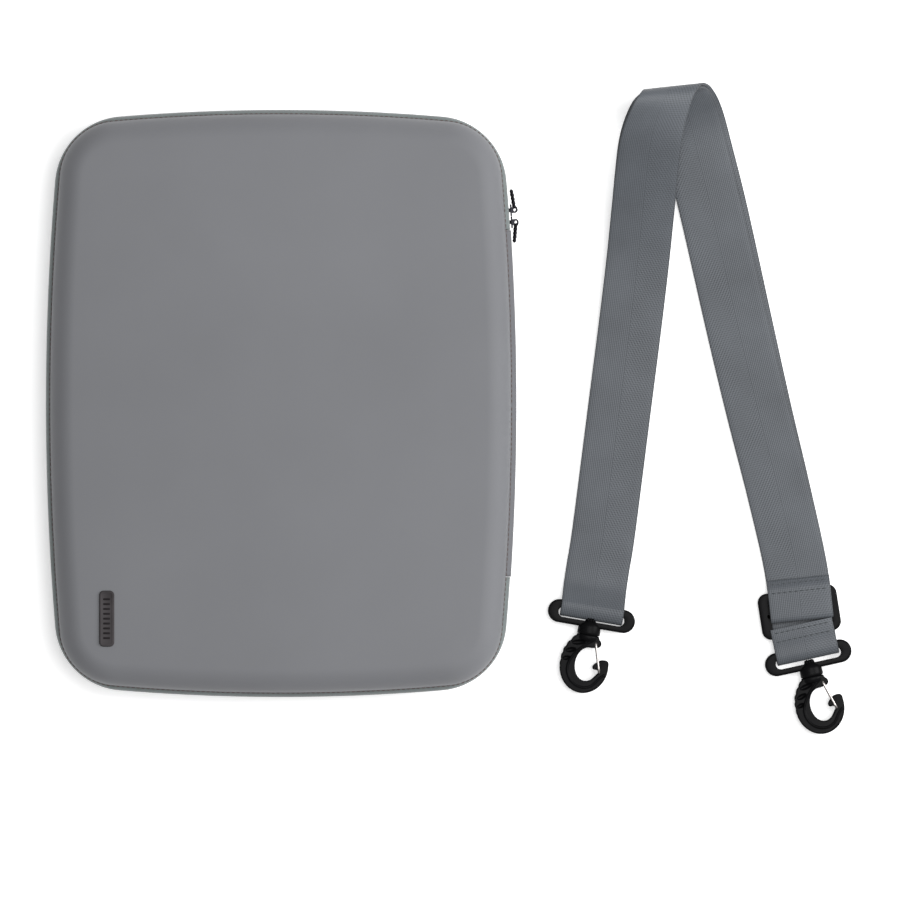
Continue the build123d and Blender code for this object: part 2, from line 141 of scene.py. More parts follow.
def end_faces(base, rings, count):
    """The two faces that close a skin's first and last ring."""
    last = base + (rings - 1) * count
    return [tuple(range(base, base + count))[::-1], tuple(range(last, last + count))]


def loft(name, rings, cap=False, close_path=False, uvs=None):
    """Skin a list of equally long point rings, capped or joined end to end."""
    count, total = len(rings[0]), len(rings)
    faces = skin(0, total, count)
    if close_path:
        last = (total - 1) * count
        for j in range(count):
            k = (j + 1) % count
            faces.append((last + j, last + k, k, j))
    if cap:
        faces += end_faces(0, total, count)
    return new_object(name, [p for ring in rings for p in ring], faces, uvs)


def finish_piece(obj, material, body, slot, *replaced):
    """Material, ride and the CAD nodes that the piece stands for; slot is not used."""
    if not obj.data.materials:
        obj.data.materials.append(material)
    if body:
        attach(obj, body)
    if replaced:
        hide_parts(*replaced)
    return obj


# ---------------------------------------------------------------- materials
class Nodes:
    """Short forms for building one material's node tree."""

    def __init__(self, name, roughness=0.6, metallic=0.0, specular=0.5, sheen=0.0, sheen_roughness=0.4):
        self.material = bpy.data.materials.new(name)
        self.material.use_nodes = True
        self.tree = self.material.node_tree
        self.shader = self.tree.nodes["Principled BSDF"]
        for socket, value in (("Roughness", roughness), ("Metallic", metallic),
                              ("Specular IOR Level", specular), ("Sheen Weight", sheen),
                              ("Sheen Roughness", sheen_roughness)):
            self.shader.inputs[socket].default_value = value

    def add(self, kind, **settings):
        node = self.tree.nodes.new(kind)
        for key, value in settings.items():
            setattr(node, key, value)
        return node

    def link(self, source, target):
        self.tree.links.new(source, target)

    def value(self, operation, a, b=0.0):
        """A math node; a and b are sockets or numbers."""
        node = self.add("ShaderNodeMath", operation=operation)
        for socket, item in zip(node.inputs, (a, b)):
            if isinstance(item, (int, float)):
                socket.default_value = item
            else:
                self.link(item, socket)
        return node.outputs[0]

    def plus(self, a, b):
        return self.value("ADD", a, b)

    def times(self, a, b):
        return self.value("MULTIPLY", a, b)

    def wave(self, source, pitch):
        """Sine along a length, with its pitch in metres."""
        return self.value("SINE", self.times(source, 2 * math.pi / pitch))

    def object_coords(self):
        return self.add("ShaderNodeTexCoord").outputs["Object"]

    def axes(self, kind):
        """The three sockets of the object coordinates or the UV map, both lengths in metres."""
        split = self.add("ShaderNodeSeparateXYZ")
        self.link(self.add("ShaderNodeTexCoord").outputs[kind], split.inputs[0])
        return split.outputs

    def noise(self, scale, detail=3.0, roughness=0.5, coords=None):
        node = self.add("ShaderNodeTexNoise")
        node.inputs["Scale"].default_value = scale
        node.inputs["Detail"].default_value = detail
        node.inputs["Roughness"].default_value = roughness
        self.link(coords or self.object_coords(), node.inputs["Vector"])
        return node.outputs["Fac"]

    def ramp(self, factor, *stops):
        """Colour ramp; each stop is (place, (r, g, b))."""
        node = self.add("ShaderNodeValToRGB")
        elements = node.color_ramp.elements
        while len(elements) < len(stops):
            elements.new(0.5)
        for element, (place, colour) in zip(elements, stops):
            element.position = place
            element.color = (*colour, 1.0)
        self.link(factor, node.inputs["Fac"])
        return node.outputs["Color"]

    def colour(self, source):
        self.link(source, self.shader.inputs["Base Color"])

    def roughness(self, factor, low, high):
        node = self.add("ShaderNodeMapRange")
        node.inputs["To Min"].default_value = low
        node.inputs["To Max"].default_value = high
        self.link(factor, node.inputs["Value"])
        self.link(node.outputs["Result"], self.shader.inputs["Roughness"])

    def bump(self, height, strength, distance):
        node = self.add("ShaderNodeBump")
        node.inputs["Strength"].default_value = strength
        node.inputs["Distance"].default_value = distance
        self.link(height, node.inputs["Height"])
        self.link(node.outputs["Normal"], self.shader.inputs["Normal"])


def shaded(colour, factor):
    """A colour made darker or lighter."""
    return tuple(c * factor for c in colour)


def coated_fabric(name, colour, grain=5200.0, roughness=0.62):
    """Close-grained coated cloth: a fine pebble grain with slow, faint changes of tone."""
    n = Nodes(name, roughness=roughness, specular=0.22, sheen=0.04, sheen_roughness=0.5)
    slow = n.noise(9.0, detail=4.0)
    fine = n.noise(grain, detail=2.0)
    mixed = n.plus(n.times(slow, 0.6), n.times(fine, 0.4))
    n.colour(n.ramp(mixed, (0.3, shaded(colour, 0.93)), (0.7, shaded(colour, 1.07))))
    n.roughness(fine, roughness - 0.06, roughness + 0.08)
    n.bump(fine, 0.35, 0.00006)
    return n.material


def woven_tape(name, colour):
    """Zipper tape and band cloth: a tight plain weave seen as fine diagonal cords."""
    n = Nodes(name, roughness=0.8, specular=0.3, sheen=0.3)
    x, y, z = n.axes("Object")
    pitch = 0.55 * MM
    weave = n.times(n.wave(n.plus(x, y), pitch), n.wave(z, pitch))
    height = n.plus(n.times(weave, 0.35), 0.5)
    tone = n.plus(n.times(height, 0.6), n.times(n.noise(60.0), 0.4))
    n.colour(n.ramp(tone, (0.25, shaded(colour, 0.75)), (0.75, shaded(colour, 1.2))))
    n.bump(height, 0.5, 0.00012)
    return n.material


def webbing(name, colour):
    """Polyester webbing: fine lengthwise ribs on one half of its width and twill on the other, with painted
    shade along both edges.
    """
    n = Nodes(name, roughness=0.5, specular=0.3, sheen=0.06, sheen_roughness=0.35)
    u, v, _ = n.axes("UV")
    ribs = n.plus(n.times(n.wave(u, 1.1 * MM), 0.32), n.times(n.wave(v, 1.05 * MM), 0.14))
    slant_u = n.times(u, 2 * math.pi / (1.9 * MM))
    slant_v = n.times(v, 2 * math.pi / (2.6 * MM))
    lean = n.value("SINE", n.plus(slant_u, slant_v))
    cross = n.value("SINE", n.value("SUBTRACT", slant_u, slant_v))
    twill = n.plus(n.times(n.times(lean, cross), 0.38), n.times(lean, 0.2))
    side = n.value("GREATER_THAN", u, 0.0)
    other = n.value("SUBTRACT", 1.0, side)
    height = n.plus(n.plus(n.times(ribs, other), n.times(twill, side)), 0.5)
    tone = n.plus(n.times(height, 0.62), n.times(n.noise(35.0, detail=3.0), 0.38))
    # Painted shade: a darker band along both edges of the webbing stands in for the shadow line where the
    # doubled layers meet.
    selvedge_and_edge_shade = n.value("GREATER_THAN", n.value("ABSOLUTE", u), WEBBING_WIDTH / 2 - 0.75 * MM)
    tone = n.value("SUBTRACT", tone, n.times(selvedge_and_edge_shade, 0.3))
    dark, light = shaded(colour, 0.5), shaded(colour, 1.4)
    n.colour(n.ramp(tone, (0.1, dark), (0.5, colour), (0.85, light)))
    n.roughness(height, 0.62, 0.40)
    n.bump(height, 0.6, 0.00016)
    return n.material


def thread(name, colour):
    """Twisted sewing thread."""
    n = Nodes(name, roughness=0.55, specular=0.4, sheen=0.2)
    strands = n.noise(2600.0, detail=1.0)
    n.colour(n.ramp(strands, (0.3, shaded(colour, 0.7)), (0.7, shaded(colour, 1.3))))
    n.bump(strands, 0.4, 0.00008)
    return n.material


def moulded_plastic(name, colour, roughness=0.42):
    """Injection-moulded acetal: a fine spark-eroded grain, slightly polished by handling."""
    n = Nodes(name, roughness=roughness, specular=0.05)
    grain = n.noise(2400.0, detail=2.0)
    wear = n.noise(55.0, detail=4.0)
    n.colour(n.ramp(wear, (0.35, shaded(colour, 0.85)), (0.75, shaded(colour, 1.35))))
    n.roughness(wear, roughness - 0.1, roughness + 0.12)
    n.bump(grain, 0.22, 0.00004)
    return n.material


def plated_metal(name, colour, roughness=0.3):
    """Plated and lightly tumbled metal: cloudy gloss with hairline scuffs."""
    n = Nodes(name, roughness=roughness, metallic=1.0)
    cloud = n.noise(220.0, detail=4.0)
    stretch = n.add("ShaderNodeMapping")
    stretch.inputs["Scale"].default_value = (300.0, 4000.0, 300.0)
    n.link(n.object_coords(), stretch.inputs["Vector"])
    scuffs = n.noise(1.0, detail=2.0, coords=stretch.outputs["Vector"])
    n.colour(n.ramp(cloud, (0.3, shaded(colour, 0.8)), (0.75, shaded(colour, 1.2))))
    n.roughness(scuffs, roughness - 0.08, roughness + 0.15)
    n.bump(scuffs, 0.1, 0.00002)
    return n.material


def knit(name, colour, pitch=1.0, strength=0.6):
    """Knitted or ribbed cloth for the linings, the pocket mesh and the elastics."""
    n = Nodes(name, roughness=0.9, specular=0.2, sheen=0.5, sheen_roughness=0.5)
    x, y, _ = n.axes("Object")
    loops = n.times(n.wave(x, pitch * MM), n.wave(y, pitch * MM))
    height = n.plus(n.times(loops, 0.4), n.times(n.noise(900.0), 0.6))
    n.colour(n.ramp(height, (0.1, shaded(colour, 0.6)), (0.7, shaded(colour, 1.3))))
    n.bump(height, strength, 0.0002)
    return n.material


def pale_floor(name):
    """Plain white studio paper."""
    n = Nodes(name, roughness=0.9, specular=0.1)
    fibre = n.noise(12.0, detail=2.0)
    n.colour(n.ramp(fibre, (0.0, (0.93, 0.93, 0.93)), (1.0, (0.96, 0.96, 0.96))))
    n.shader.inputs["Emission Color"].default_value = (1.0, 1.0, 1.0, 1.0)
    n.shader.inputs["Emission Strength"].default_value = 0.4
    return n.material


SHELL_CLOTH = coated_fabric("shell_cloth", (0.150, 0.153, 0.163))
SPINE_CLOTH = coated_fabric("spine_cloth", (0.128, 0.130, 0.140), grain=3000.0, roughness=0.7)
BAND_CLOTH = woven_tape("band_cloth", (0.150, 0.170, 0.170))
LINING_CLOTH = knit("lining_cloth", (0.030, 0.031, 0.034), pitch=0.9)
MESH_CLOTH = knit("mesh_cloth", (0.020, 0.020, 0.022), pitch=2.2, strength=1.0)
ELASTIC_CLOTH = knit("elastic_cloth", (0.014, 0.014, 0.015), pitch=1.4)
WEBBING = webbing("strap_webbing_cloth", (0.072, 0.079, 0.089))
SEAM_THREAD = thread("seam_thread", (0.075, 0.045, 0.038))
STRAP_THREAD = thread("strap_thread", (0.040, 0.046, 0.052))
BLACK_PLASTIC = moulded_plastic("black_plastic", (0.0032, 0.0032, 0.0036), roughness=0.36)
COIL_PLASTIC = moulded_plastic("coil_plastic", (0.045, 0.05, 0.05), roughness=0.5)
GUNMETAL = plated_metal("gunmetal", (0.016, 0.016, 0.019), roughness=0.34)
BADGE_METAL = moulded_plastic("badge_metal", (0.046, 0.042, 0.044), roughness=0.45)
BADGE_FACE = moulded_plastic("badge_face", (0.014, 0.012, 0.013), roughness=0.5)
NICKEL = plated_metal("nickel", (0.55, 0.54, 0.52), roughness=0.2)
SPRING_WIRE = plated_metal("spring_wire", (0.36, 0.34, 0.33), roughness=0.3)

# ---------------------------------------------------------------- the case's outline
shell_low, shell_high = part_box("front_shell")
tape_low, tape_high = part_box("front_zipper_tape")
gusset_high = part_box("spine_gusset")[1]
base_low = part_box("rear_shell")[0]

HALF_WIDTH = -tape_low.x
HALF_LENGTH = tape_high.y
MID_Z = (base_low.z + shell_high.z) / 2
SIDE_BULGE = 8.8 * MM
END_BULGE = 7.5 * MM
CORNER_RADIUS = 42.0 * MM
CORNER_X = HALF_WIDTH - SIDE_BULGE
CORNER_Y = HALF_LENGTH - END_BULGE
SIDE_RADIUS = (CORNER_Y**2 + SIDE_BULGE**2) / (2 * SIDE_BULGE)
END_RADIUS = (CORNER_X**2 + END_BULGE**2) / (2 * END_BULGE)
RIM_INSET = HALF_WIDTH + shell_low.x
SHELL_CORNER_RADIUS = 35.0 * MM
SHELL_WALL = 2.5 * MM
EDGE_RADIUS = 14.0 * MM
WALL_DRAFT = 8.0
GUSSET_END = gusset_high.y
SIDE_STEPS = 96
CORNER_STEPS = 36
END_STEPS = 72
HALVES = (("front", True, "lid"), ("rear", False, "root"))


def quarter_outline(inset, radius):
    """Points of the outline's first quarter, from (x, 0) round the corner to (0, y), z left out.

    The two bowed sides are arcs; the corner circle touches both from the inside."""
    side_r = SIDE_RADIUS - inset
    end_r = END_RADIUS - inset
    side_cx = HALF_WIDTH - SIDE_RADIUS
    end_cy = HALF_LENGTH - END_RADIUS
    # The corner's centre is side_r - radius from one arc's centre and end_r - radius from the other's.
    cx, cy = HALF_WIDTH - inset - radius, HALF_LENGTH - inset - radius
    for _ in range(60):
        cx = side_cx + math.sqrt((side_r - radius) ** 2 - cy**2)
        cy = end_cy + math.sqrt((end_r - radius) ** 2 - cx**2)
    side_angle = math.atan2(cy, cx - side_cx)
    end_angle = math.atan2(cy - end_cy, cx)
    points = []
    for i in range(SIDE_STEPS // 2):
        a = side_angle * i / (SIDE_STEPS // 2)
        points.append((side_cx + side_r * math.cos(a), side_r * math.sin(a)))
    for i in range(CORNER_STEPS):
        a = side_angle + (end_angle - side_angle) * i / CORNER_STEPS
        points.append((cx + radius * math.cos(a), cy + radius * math.sin(a)))
    for i in range(END_STEPS // 2):
        a = end_angle + (math.pi / 2 - end_angle) * i / (END_STEPS // 2)
        points.append((end_r * math.cos(a), end_cy + end_r * math.sin(a)))
    points.append((0.0, end_cy + end_r))
    return points


def outline(inset, radius=None):
    """The whole outline, counter-clockwise from the middle of the spine side."""
    quarter = quarter_outline(inset, CORNER_RADIUS - inset if radius is None else radius)
    left = [(-x, y) for x, y in reversed(quarter[:-1])]
    upper = quarter + left
    lower = [(x, -y) for x, y in reversed(upper[1:-1])]
    return upper + lower


def shell_outline(extra):
    """The shell's rim, moved in by an extra inset."""
    return outline(RIM_INSET + extra, SHELL_CORNER_RADIUS - extra)


# ---------------------------------------------------------------- shells and linings
def dome_profile(shrink):
    """(inset, height above the rim) along the shell's section, from its rim to its flat top."""
    depth = shell_high.z - shell_low.z - shrink
    edge = EDGE_RADIUS - shrink
    draft = math.radians(WALL_DRAFT)
    wall_top = depth - edge * (1 - math.sin(draft))
    foot = 0.6 * MM
    profile = [(0.0, 0.0), (0.0, foot)]
    for i in range(1, 5):
        h = foot + (wall_top - foot) * i / 4
        profile.append((h * math.tan(draft), h))
    centre_inset = profile[-1][0] + edge * math.cos(draft)
    return profile + arc((centre_inset, depth - edge), (-edge, edge), WALL_DRAFT, 90, 14, skip=1)


def dome_rings(shrink, crown, up):
    """Rings of points from the rim over the edge to the middle of the top."""
    profile = dome_profile(shrink)
    rim_z = shell_low.z if up else 2 * MID_Z - shell_low.z
    sign = 1 if up else -1
    rings = [level(shell_outline(shrink + inset), rim_z + sign * h) for inset, h in profile]
    last = shell_outline(shrink + profile[-1][0])
    top_h = profile[-1][1]
    for k in range(1, 12):
        s = 1 - k / 12
        rise = crown * (1 - s**2)
        rings.append(level([(x * s, y * s) for x, y in last], rim_z + sign * (top_h + rise)))
    return rings, Vector((0, 0, rim_z + sign * (top_h + crown)))


def dome_solid(name, outer_shrink, inner_shrink, up, crown):
    """A closed shell: outer skin, rim and inner skin."""
    outer, outer_tip = dome_rings(outer_shrink, crown, up)
    inner, inner_tip = dome_rings(inner_shrink, crown, up)
    rings = outer[::-1] + inner
    count = len(rings[0])
    verts = [p for ring in rings for p in ring] + [outer_tip, inner_tip]
    faces = skin(0, len(rings), count)
    last = (len(rings) - 1) * count
    for j in range(count):
        k = (j + 1) % count
        faces.append((len(verts) - 2, k, j))
        faces.append((len(verts) - 1, last + j, last + k))
    return tidy_mesh(new_object(name, verts, faces))


def build_shells():
    for half, up, body in HALVES:
        crown = 0.5 * MM if up else 0.0
        shell = dome_solid(f"{half}_shell_moulded", 0.0, SHELL_WALL, up, crown)
        finish_piece(shell, SHELL_CLOTH, body, "shell", f"{half}_shell")
        lining = dome_solid(f"{half}_lining_cloth", SHELL_WALL + 0.1 * MM, SHELL_WALL + 1.0 * MM, up, crown)
        finish_piece(lining, LINING_CLOTH, body, "lining", f"{half}_lining")


# ---------------------------------------------------------------- band, zipper edge and spine
def lid_side(up, z):
    """Height z above the zipper line, on the lid's side or the base's."""
    return MID_Z + z if up else MID_Z - z


def flat_line(inset, radius=None):
    """The outline as vectors, at height 0."""
    return level(outline(inset, radius), 0)


def side_x(y):
    """How far out the bowed spine side is at a place along it."""
    return HALF_WIDTH - SIDE_RADIUS + math.sqrt(SIDE_RADIUS**2 - y**2)


# Share of the way from the shell's rim to the outline, and millimetres over the zipper line.
BAND_PATH = ((-0.5, 7.75), (-0.1, 8.0), (0.22, 7.85), (0.55, 7.0),
             (0.85, 5.6), (1.0, 3.7), (1.0, 2.4), (0.97, 0.45))
BAND_THICKNESS = 0.9 * MM
BAND_RIM_GAP = 0.2 * MM


def band_section(rim, edge, up):
    """Closed section of the band at one place on the outline."""
    out = edge - rim
    if out.length < 1e-6:
        out = Vector(rim).normalized() * 1e-6
    unit = out.normalized()
    outer, inner = [], []
    for i, (share, z) in enumerate(BAND_PATH):
        flat = rim + out * share
        outer.append(Vector((flat.x, flat.y, lid_side(up, z * MM))))
        under = flat - unit * (BAND_THICKNESS if i > 1 else 0.2 * MM)
        lower = BAND_THICKNESS if i < 4 else 0.0
        inner.append(Vector((under.x, under.y, lid_side(up, z * MM - lower))))
    return outer + inner[::-1]


def build_band(name, up):
    """The fabric band from the spine's upper end, round three sides, to its lower end."""
    rim_line = flat_line(RIM_INSET + BAND_RIM_GAP, SHELL_CORNER_RADIUS - BAND_RIM_GAP)
    edge_line = flat_line(0.0)
    stop = GUSSET_END + 0.15 * MM
    rings = []
    for rim, edge in zip(rim_line, edge_line):
        if edge.x > 0 and abs(edge.y) < stop + 1.0 * MM:
            continue
        rings.append(band_section(rim, edge, up))
    for y, place in ((stop, 0), (-stop, len(rings) + 1)):
        x = side_x(y)
        rim = Vector((x - RIM_INSET - BAND_RIM_GAP, y, 0))
        rings.insert(place, band_section(rim, Vector((x, y, 0)), up))
    return tidy_mesh(loft(name, rings, cap=True))


def build_bands():
    for half, up, body in HALVES:
        band = build_band(f"{half}_zipper_band", up)
        finish_piece(band, BAND_CLOTH, body, "band", f"{half}_zipper_tape", f"{half}_binding")


# As BAND_PATH, for the upper half of the spine, which is bowed past the outline.
SPINE_PATH = [(-0.4, 7.75), (0.1, 7.95), (0.6, 7.35), (0.95, 6.1), (1.12, 4.4), (1.16, 2.2), (1.17, 0.0)]
SPINE_THICKNESS = 1.1 * MM
SPINE_RIM_GAP = 0.3 * MM


def build_spine():
    """The spine's cloth, bowed a little outwards."""
    rim_line = flat_line(RIM_INSET + SPINE_RIM_GAP, SHELL_CORNER_RADIUS - SPINE_RIM_GAP)
    pairs = [(rim, edge) for rim, edge in zip(rim_line, flat_line(0.0))
             if edge.x > 0 and abs(edge.y) < GUSSET_END - 1 * MM]
    pairs.sort(key=lambda pair: pair[1].y)
    for y, place in ((-GUSSET_END + 0.2 * MM, 0), (GUSSET_END - 0.2 * MM, len(pairs) + 1)):
        x = side_x(y)
        pairs.insert(place, (Vector((x - RIM_INSET - SPINE_RIM_GAP, y, 0)), Vector((x, y, 0))))
    section = SPINE_PATH + [(share, -z) for share, z in reversed(SPINE_PATH[:-1])]
    shrink = 1 - SPINE_THICKNESS / (8 * MM)
    rings = []
    for rim, edge in pairs:
        out = edge - rim
        unit = out.normalized()
        outer, inner = [], []
        for share, z in section:
            flat = rim + out * share
            outer.append(Vector((flat.x, flat.y, MID_Z + z * MM)))
            under = flat - unit * (SPINE_THICKNESS if abs(z) < 7.5 else 0.3 * MM)
            inner.append(Vector((under.x, under.y, MID_Z + z * MM * shrink)))
        rings.append(outer + inner[::-1])
    spine = tidy_mesh(loft("spine_gusset_cloth", rings, cap=True))
    spine.data.materials.append(SPINE_CLOTH)
    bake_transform(spine)
    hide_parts("spine_gusset")


# ---------------------------------------------------------------- stitches
def stitch_run(name, points, normals, length, pitch, radius, lift=0.5):
    """A row of stitches along a line of points; each is a short thread with sunk ends."""
    lengths = [0.0]
    for a, b in zip(points, points[1:]):
        lengths.append(lengths[-1] + (b - a).length)
    total = lengths[-1]

    def at(distance):
        i = 0
        while i < len(lengths) - 2 and lengths[i + 1] < distance:
            i += 1
        span = lengths[i + 1] - lengths[i]
        t = 0.0 if span == 0 else (distance - lengths[i]) / span
        return points[i].lerp(points[i + 1], t), normals[i].lerp(normals[i + 1], t).normalized()

    verts, faces = [], []
    sides, rings = 6, 5
    for s in range(int(total / pitch)):
        start = pitch * (s + 0.5) - length / 2
        base = len(verts)
        head, _ = at(start)
        tail, _ = at(start + length)
        run = (tail - head).normalized()
        for k in range(rings):
            t = k / (rings - 1)
            point, normal = at(start + length * t)
            arch = math.sin(math.pi * t)
            across = run.cross(normal).normalized()
            centre = point + normal * radius * (arch * (1 + lift) - 0.8)
            width = radius * (0.75 + 0.35 * arch)
            for c, d in circle(sides):
                verts.append(centre + across * width * c + normal * radius * d)
        faces += skin(base, rings, sides) + end_faces(base, rings, sides)
    return new_object(name, verts, faces)


def build_rim_stitches():
    """The row that sews each shell to the band, close inside the shell's rim."""
    for half, up, body in HALVES:
        line = outline(RIM_INSET - 0.15 * MM, SHELL_CORNER_RADIUS + 0.15 * MM)
        points = [Vector((x, y, lid_side(up, 8.35 * MM))) for x, y in line]
        points.append(points[0])
        normals = []
        for x, y in line:
            side = Vector((x, y, 0)).normalized()
            normals.append((side + Vector((0, 0, 0.9 if up else -0.9))).normalized())
        normals.append(normals[0])
        row = stitch_run(f"{half}_rim_stitches", points, normals, 2.1 * MM, 3.0 * MM, 0.28 * MM)
        finish_piece(row, SEAM_THREAD, body, "band")


# ---------------------------------------------------------------- badge
def rounded_rectangle(width, height, radius, steps=8):
    """Points of a rectangle with round corners, about its middle."""
    points = []
    for cx, cy, start in ((1, 1, 0), (-1, 1, 90), (-1, -1, 180), (1, -1, 270)):
        corner = (cx * (width / 2 - radius), cy * (height / 2 - radius))
        points += arc(corner, (radius, radius), start, start + 90, steps)
    return points


BADGE_SHIFT = Vector((1.0, 0.7, 0)) * MM
BADGE_BARS = 9
BAR_PITCH = 2.9 * MM


def build_badge():
    """Bordered plate with a plain row of raised bars in its sunken face."""
    low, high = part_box("badge")
    centre = (low + high) / 2 + BADGE_SHIFT
    width, length = high.x - low.x, high.y - low.y
    top = high.z - low.z
    sections = [(0.0, -0.6 * MM), (0.0, top * 0.45), (0.25 * MM, top * 0.8), (0.7 * MM, top),
                (1.15 * MM, top * 0.99), (1.35 * MM, top * 0.90), (1.5 * MM, top * 0.84)]
    rings = []
    for inset, z in sections:
        shape = rounded_rectangle(width - 2 * inset, length - 2 * inset, 2.7 * MM - inset)
        rings.append([Vector((centre.x + x, centre.y + y, low.z + z)) for x, y in shape])
    plate = tidy_mesh(loft("badge_plate", rings, cap=True))
    plate.data.materials.append(BADGE_METAL)
    bars = []
    for i in range(BADGE_BARS):
        y = centre.y + (i - (BADGE_BARS - 1) / 2) * BAR_PITCH
        shape = rounded_rectangle(4.2 * MM, 1.2 * MM, 0.55 * MM, steps=4)
        levels = [(1.0, top * 0.7), (1.0, top * 0.90), (0.86, top * 0.95)]
        bar_rings = []
        for size, z in levels:
            bar_rings.append([Vector((centre.x + bx * size, y + by * size, low.z + z)) for bx, by in shape])
        bar = tidy_mesh(loft(f"bar_{i}", bar_rings, cap=True))
        bar.data.materials.append(BADGE_FACE)
        bars.append(bar)
    badge = joined("badge_plate", [plate] + bars)
    finish_piece(badge, BADGE_METAL, "lid", "badge", "badge")


# ---------------------------------------------------------------- webbing strips
def strip(name, stations, flips=None):
    """Woven strip through stations of (centre, across, normal), with rounded selvedges.

    UVs are metres: u across from the middle, v along. flips holds each station's sign of u."""
    half_w, half_t = WEBBING_WIDTH / 2, LAYER / 2
    selvedge_and_edge_shade = half_t * 1.02
    section = []
    across_steps = 10
    for i in range(across_steps + 1):
        x = -half_w + selvedge_and_edge_shade + (WEBBING_WIDTH - 2 * selvedge_and_edge_shade) * i / across_steps
        section.append((x, half_t * (0.93 if i in (1, across_steps - 1) else 1.0)))
    middle = half_w - selvedge_and_edge_shade
    section += arc((middle, 0.0), (selvedge_and_edge_shade, half_t), 60, -60, 4)
    section += [(x, -z) for x, z in reversed(section[:across_steps + 1])]
    section += arc((-middle, 0.0), (selvedge_and_edge_shade, half_t), 240, 120, 4)
    rings, uvs = [], []
    v = 0.0
    for i, (centre, across, normal) in enumerate(stations):
        if i:
            v += (centre - stations[i - 1][0]).length
        flip = flips[i] if flips else 1
        rings.append([centre + across * x + normal * z for x, z in section])
        uvs += [(flip * x, v) for x, z in section]
    return loft(name, rings, cap=True, uvs=uvs), v


def smooth_path(points, steps):
    """Catmull-Rom curve through rows of numbers, evenly stepped in each span."""
    rows = [points[0]] + points + [points[-1]]
    result = []
    for i in range(1, len(rows) - 2):
        p0, p1, p2, p3 = rows[i - 1], rows[i], rows[i + 1], rows[i + 2]
        last = i == len(rows) - 3
        for s in range(steps + (1 if last else 0)):
            t = s / steps
            row = []
            for a, b, c, d in zip(p0, p1, p2, p3):
                row.append(0.5 * ((2 * b) + (c - a) * t + (2 * a - 5 * b + 4 * c - d) * t * t
                                  + (3 * b - a - 3 * c + d) * t**3))
            result.append(row)
    return result


# The doubled strap's middle surface, from hook A's bar round the standing loop to hook B's bar:
# x, y, z and half the distance between the layers, in millimetres, then the heading and the tilt
# of the width, in degrees, and how far the outer layer sits to the right of the inner one.
STRAP_ROUTE = [
    (187.3, -122.9, 6.0, 3.5, -9.0, 0.0, 0.0),
    (188.0, -116.5, 4.1, 2.0, -8.6, 0.0, 0.0),
    (189.0, -108.5, 2.2, 0.9, -8.0, 0.0, 0.0),
    (190.6, -98.0, 1.6, 0.72, -7.0, 0.0, 0.0),
    (194.1, -76.0, 1.6, 0.72, -6.8, 0.0, 0.0),
    (203.3, -4.0, 1.7, 0.72, -6.9, -1.0, 0.0),
    (209.4, 44.0, 3.4, 0.72, -6.9, -3.0, 0.0),
    (214.2, 85.0, 8.5, 0.72, -6.8, -4.0, 0.0),
    (217.2, 116.0, 17.0, 0.72, -6.6, -4.0, 0.0),
    (218.9, 136.0, 25.0, 0.72, -5.0, -5.0, 0.2),
    (220.6, 153.6, 33.5, 0.72, -3.0, -8.0, 0.4),
    (222.9, 167.0, 40.0, 0.72, 0.0, -15.0, 0.7),
    (226.9, 179.6, 44.0, 0.75, 4.0, -21.0, 1.0),
    (231.0, 186.4, 41.5, 0.80, 6.0, -22.0, 1.4),
    (234.4, 188.4, 34.0, 0.85, 7.2, -18.0, 1.9),
    (238.6, 185.0, 22.0, 0.90, 9.0, -12.0, 2.4),
    (243.9, 173.5, 10.5, 0.95, 10.6, -7.0, 2.8),
    (249.6, 152.0, 4.0, 0.95, 12.0, -3.0, 3.0),
    (259.6, 112.0, 1.75, 0.90, 12.8, 0.0, 2.9),
    (274.6, 46.0, 1.65, 0.85, 12.4, 0.0, 2.4),
    (286.6, -4.0, 1.6, 0.80, 12.5, 0.0, 1.5),
    (298.9, -52.0, 1.6, 0.75, 13.6, 0.0, 0.5),
    (309.4, -98.0, 1.55, 0.72, 10.5, 0.0, 0.0),
    (313.6, -132.0, 1.55, 0.72, 9.4, 0.0, 0.0),
    (314.8, -141.5, 2.9, 1.6, 11.0, 0.0, 0.0),
    (315.8, -148.0, 6.0, 3.5, 12.3, 0.0, 0.0),
]
BAR_Y = 5.0 * MM
ADJUSTER_CENTRE = Vector((311.6, -125.4, 0.0)) * MM
ADJUSTER_TURN = math.radians(8.9)


class Hook:
    """One swivel hook's own frame: x along its slot, y towards the webbing."""

    def __init__(self, letter, centre, turn_degrees):
        turn = math.radians(turn_degrees)
        self.letter = letter
        self.centre = Vector(centre) * MM
        self.x = Vector((math.cos(turn), math.sin(turn), 0))
        self.y = Vector((-math.sin(turn), math.cos(turn), 0))
        self.bar = self.centre + self.y * BAR_Y

    def place(self, obj):
        """Move a mesh made in the hook's frame, in millimetres, to its place."""
        for vertex in obj.data.vertices:
            x, y, z = vertex.co * MM
            vertex.co = self.centre + self.x * x + self.y * y + Vector((0, 0, z))
        obj.data.update()
        return obj


HOOKS = (Hook("a", (186.5, -127.8, 6.0), -9.7), Hook("b", (316.9, -152.9, 6.0), 12.3))


# Distance (mm) from hook B's bar towards the tri-glide, and the folded webbing's height there.
FOLD_PATH = ((0.0, 9.5), (4.0, 9.1), (8.5, 7.9), (12.0, 7.2), (14.2, 7.08), (15.9, 7.0))


def over_hook_b(x, along, height):
    """Point beside and beyond hook B's bar, in millimetres, at a height over the floor."""
    bar = HOOKS[1].bar
    flat = Vector((bar.x, bar.y, 0)) + (HOOKS[1].x * x + HOOKS[1].y * along) * MM
    return flat + Vector((0, 0, height * MM))


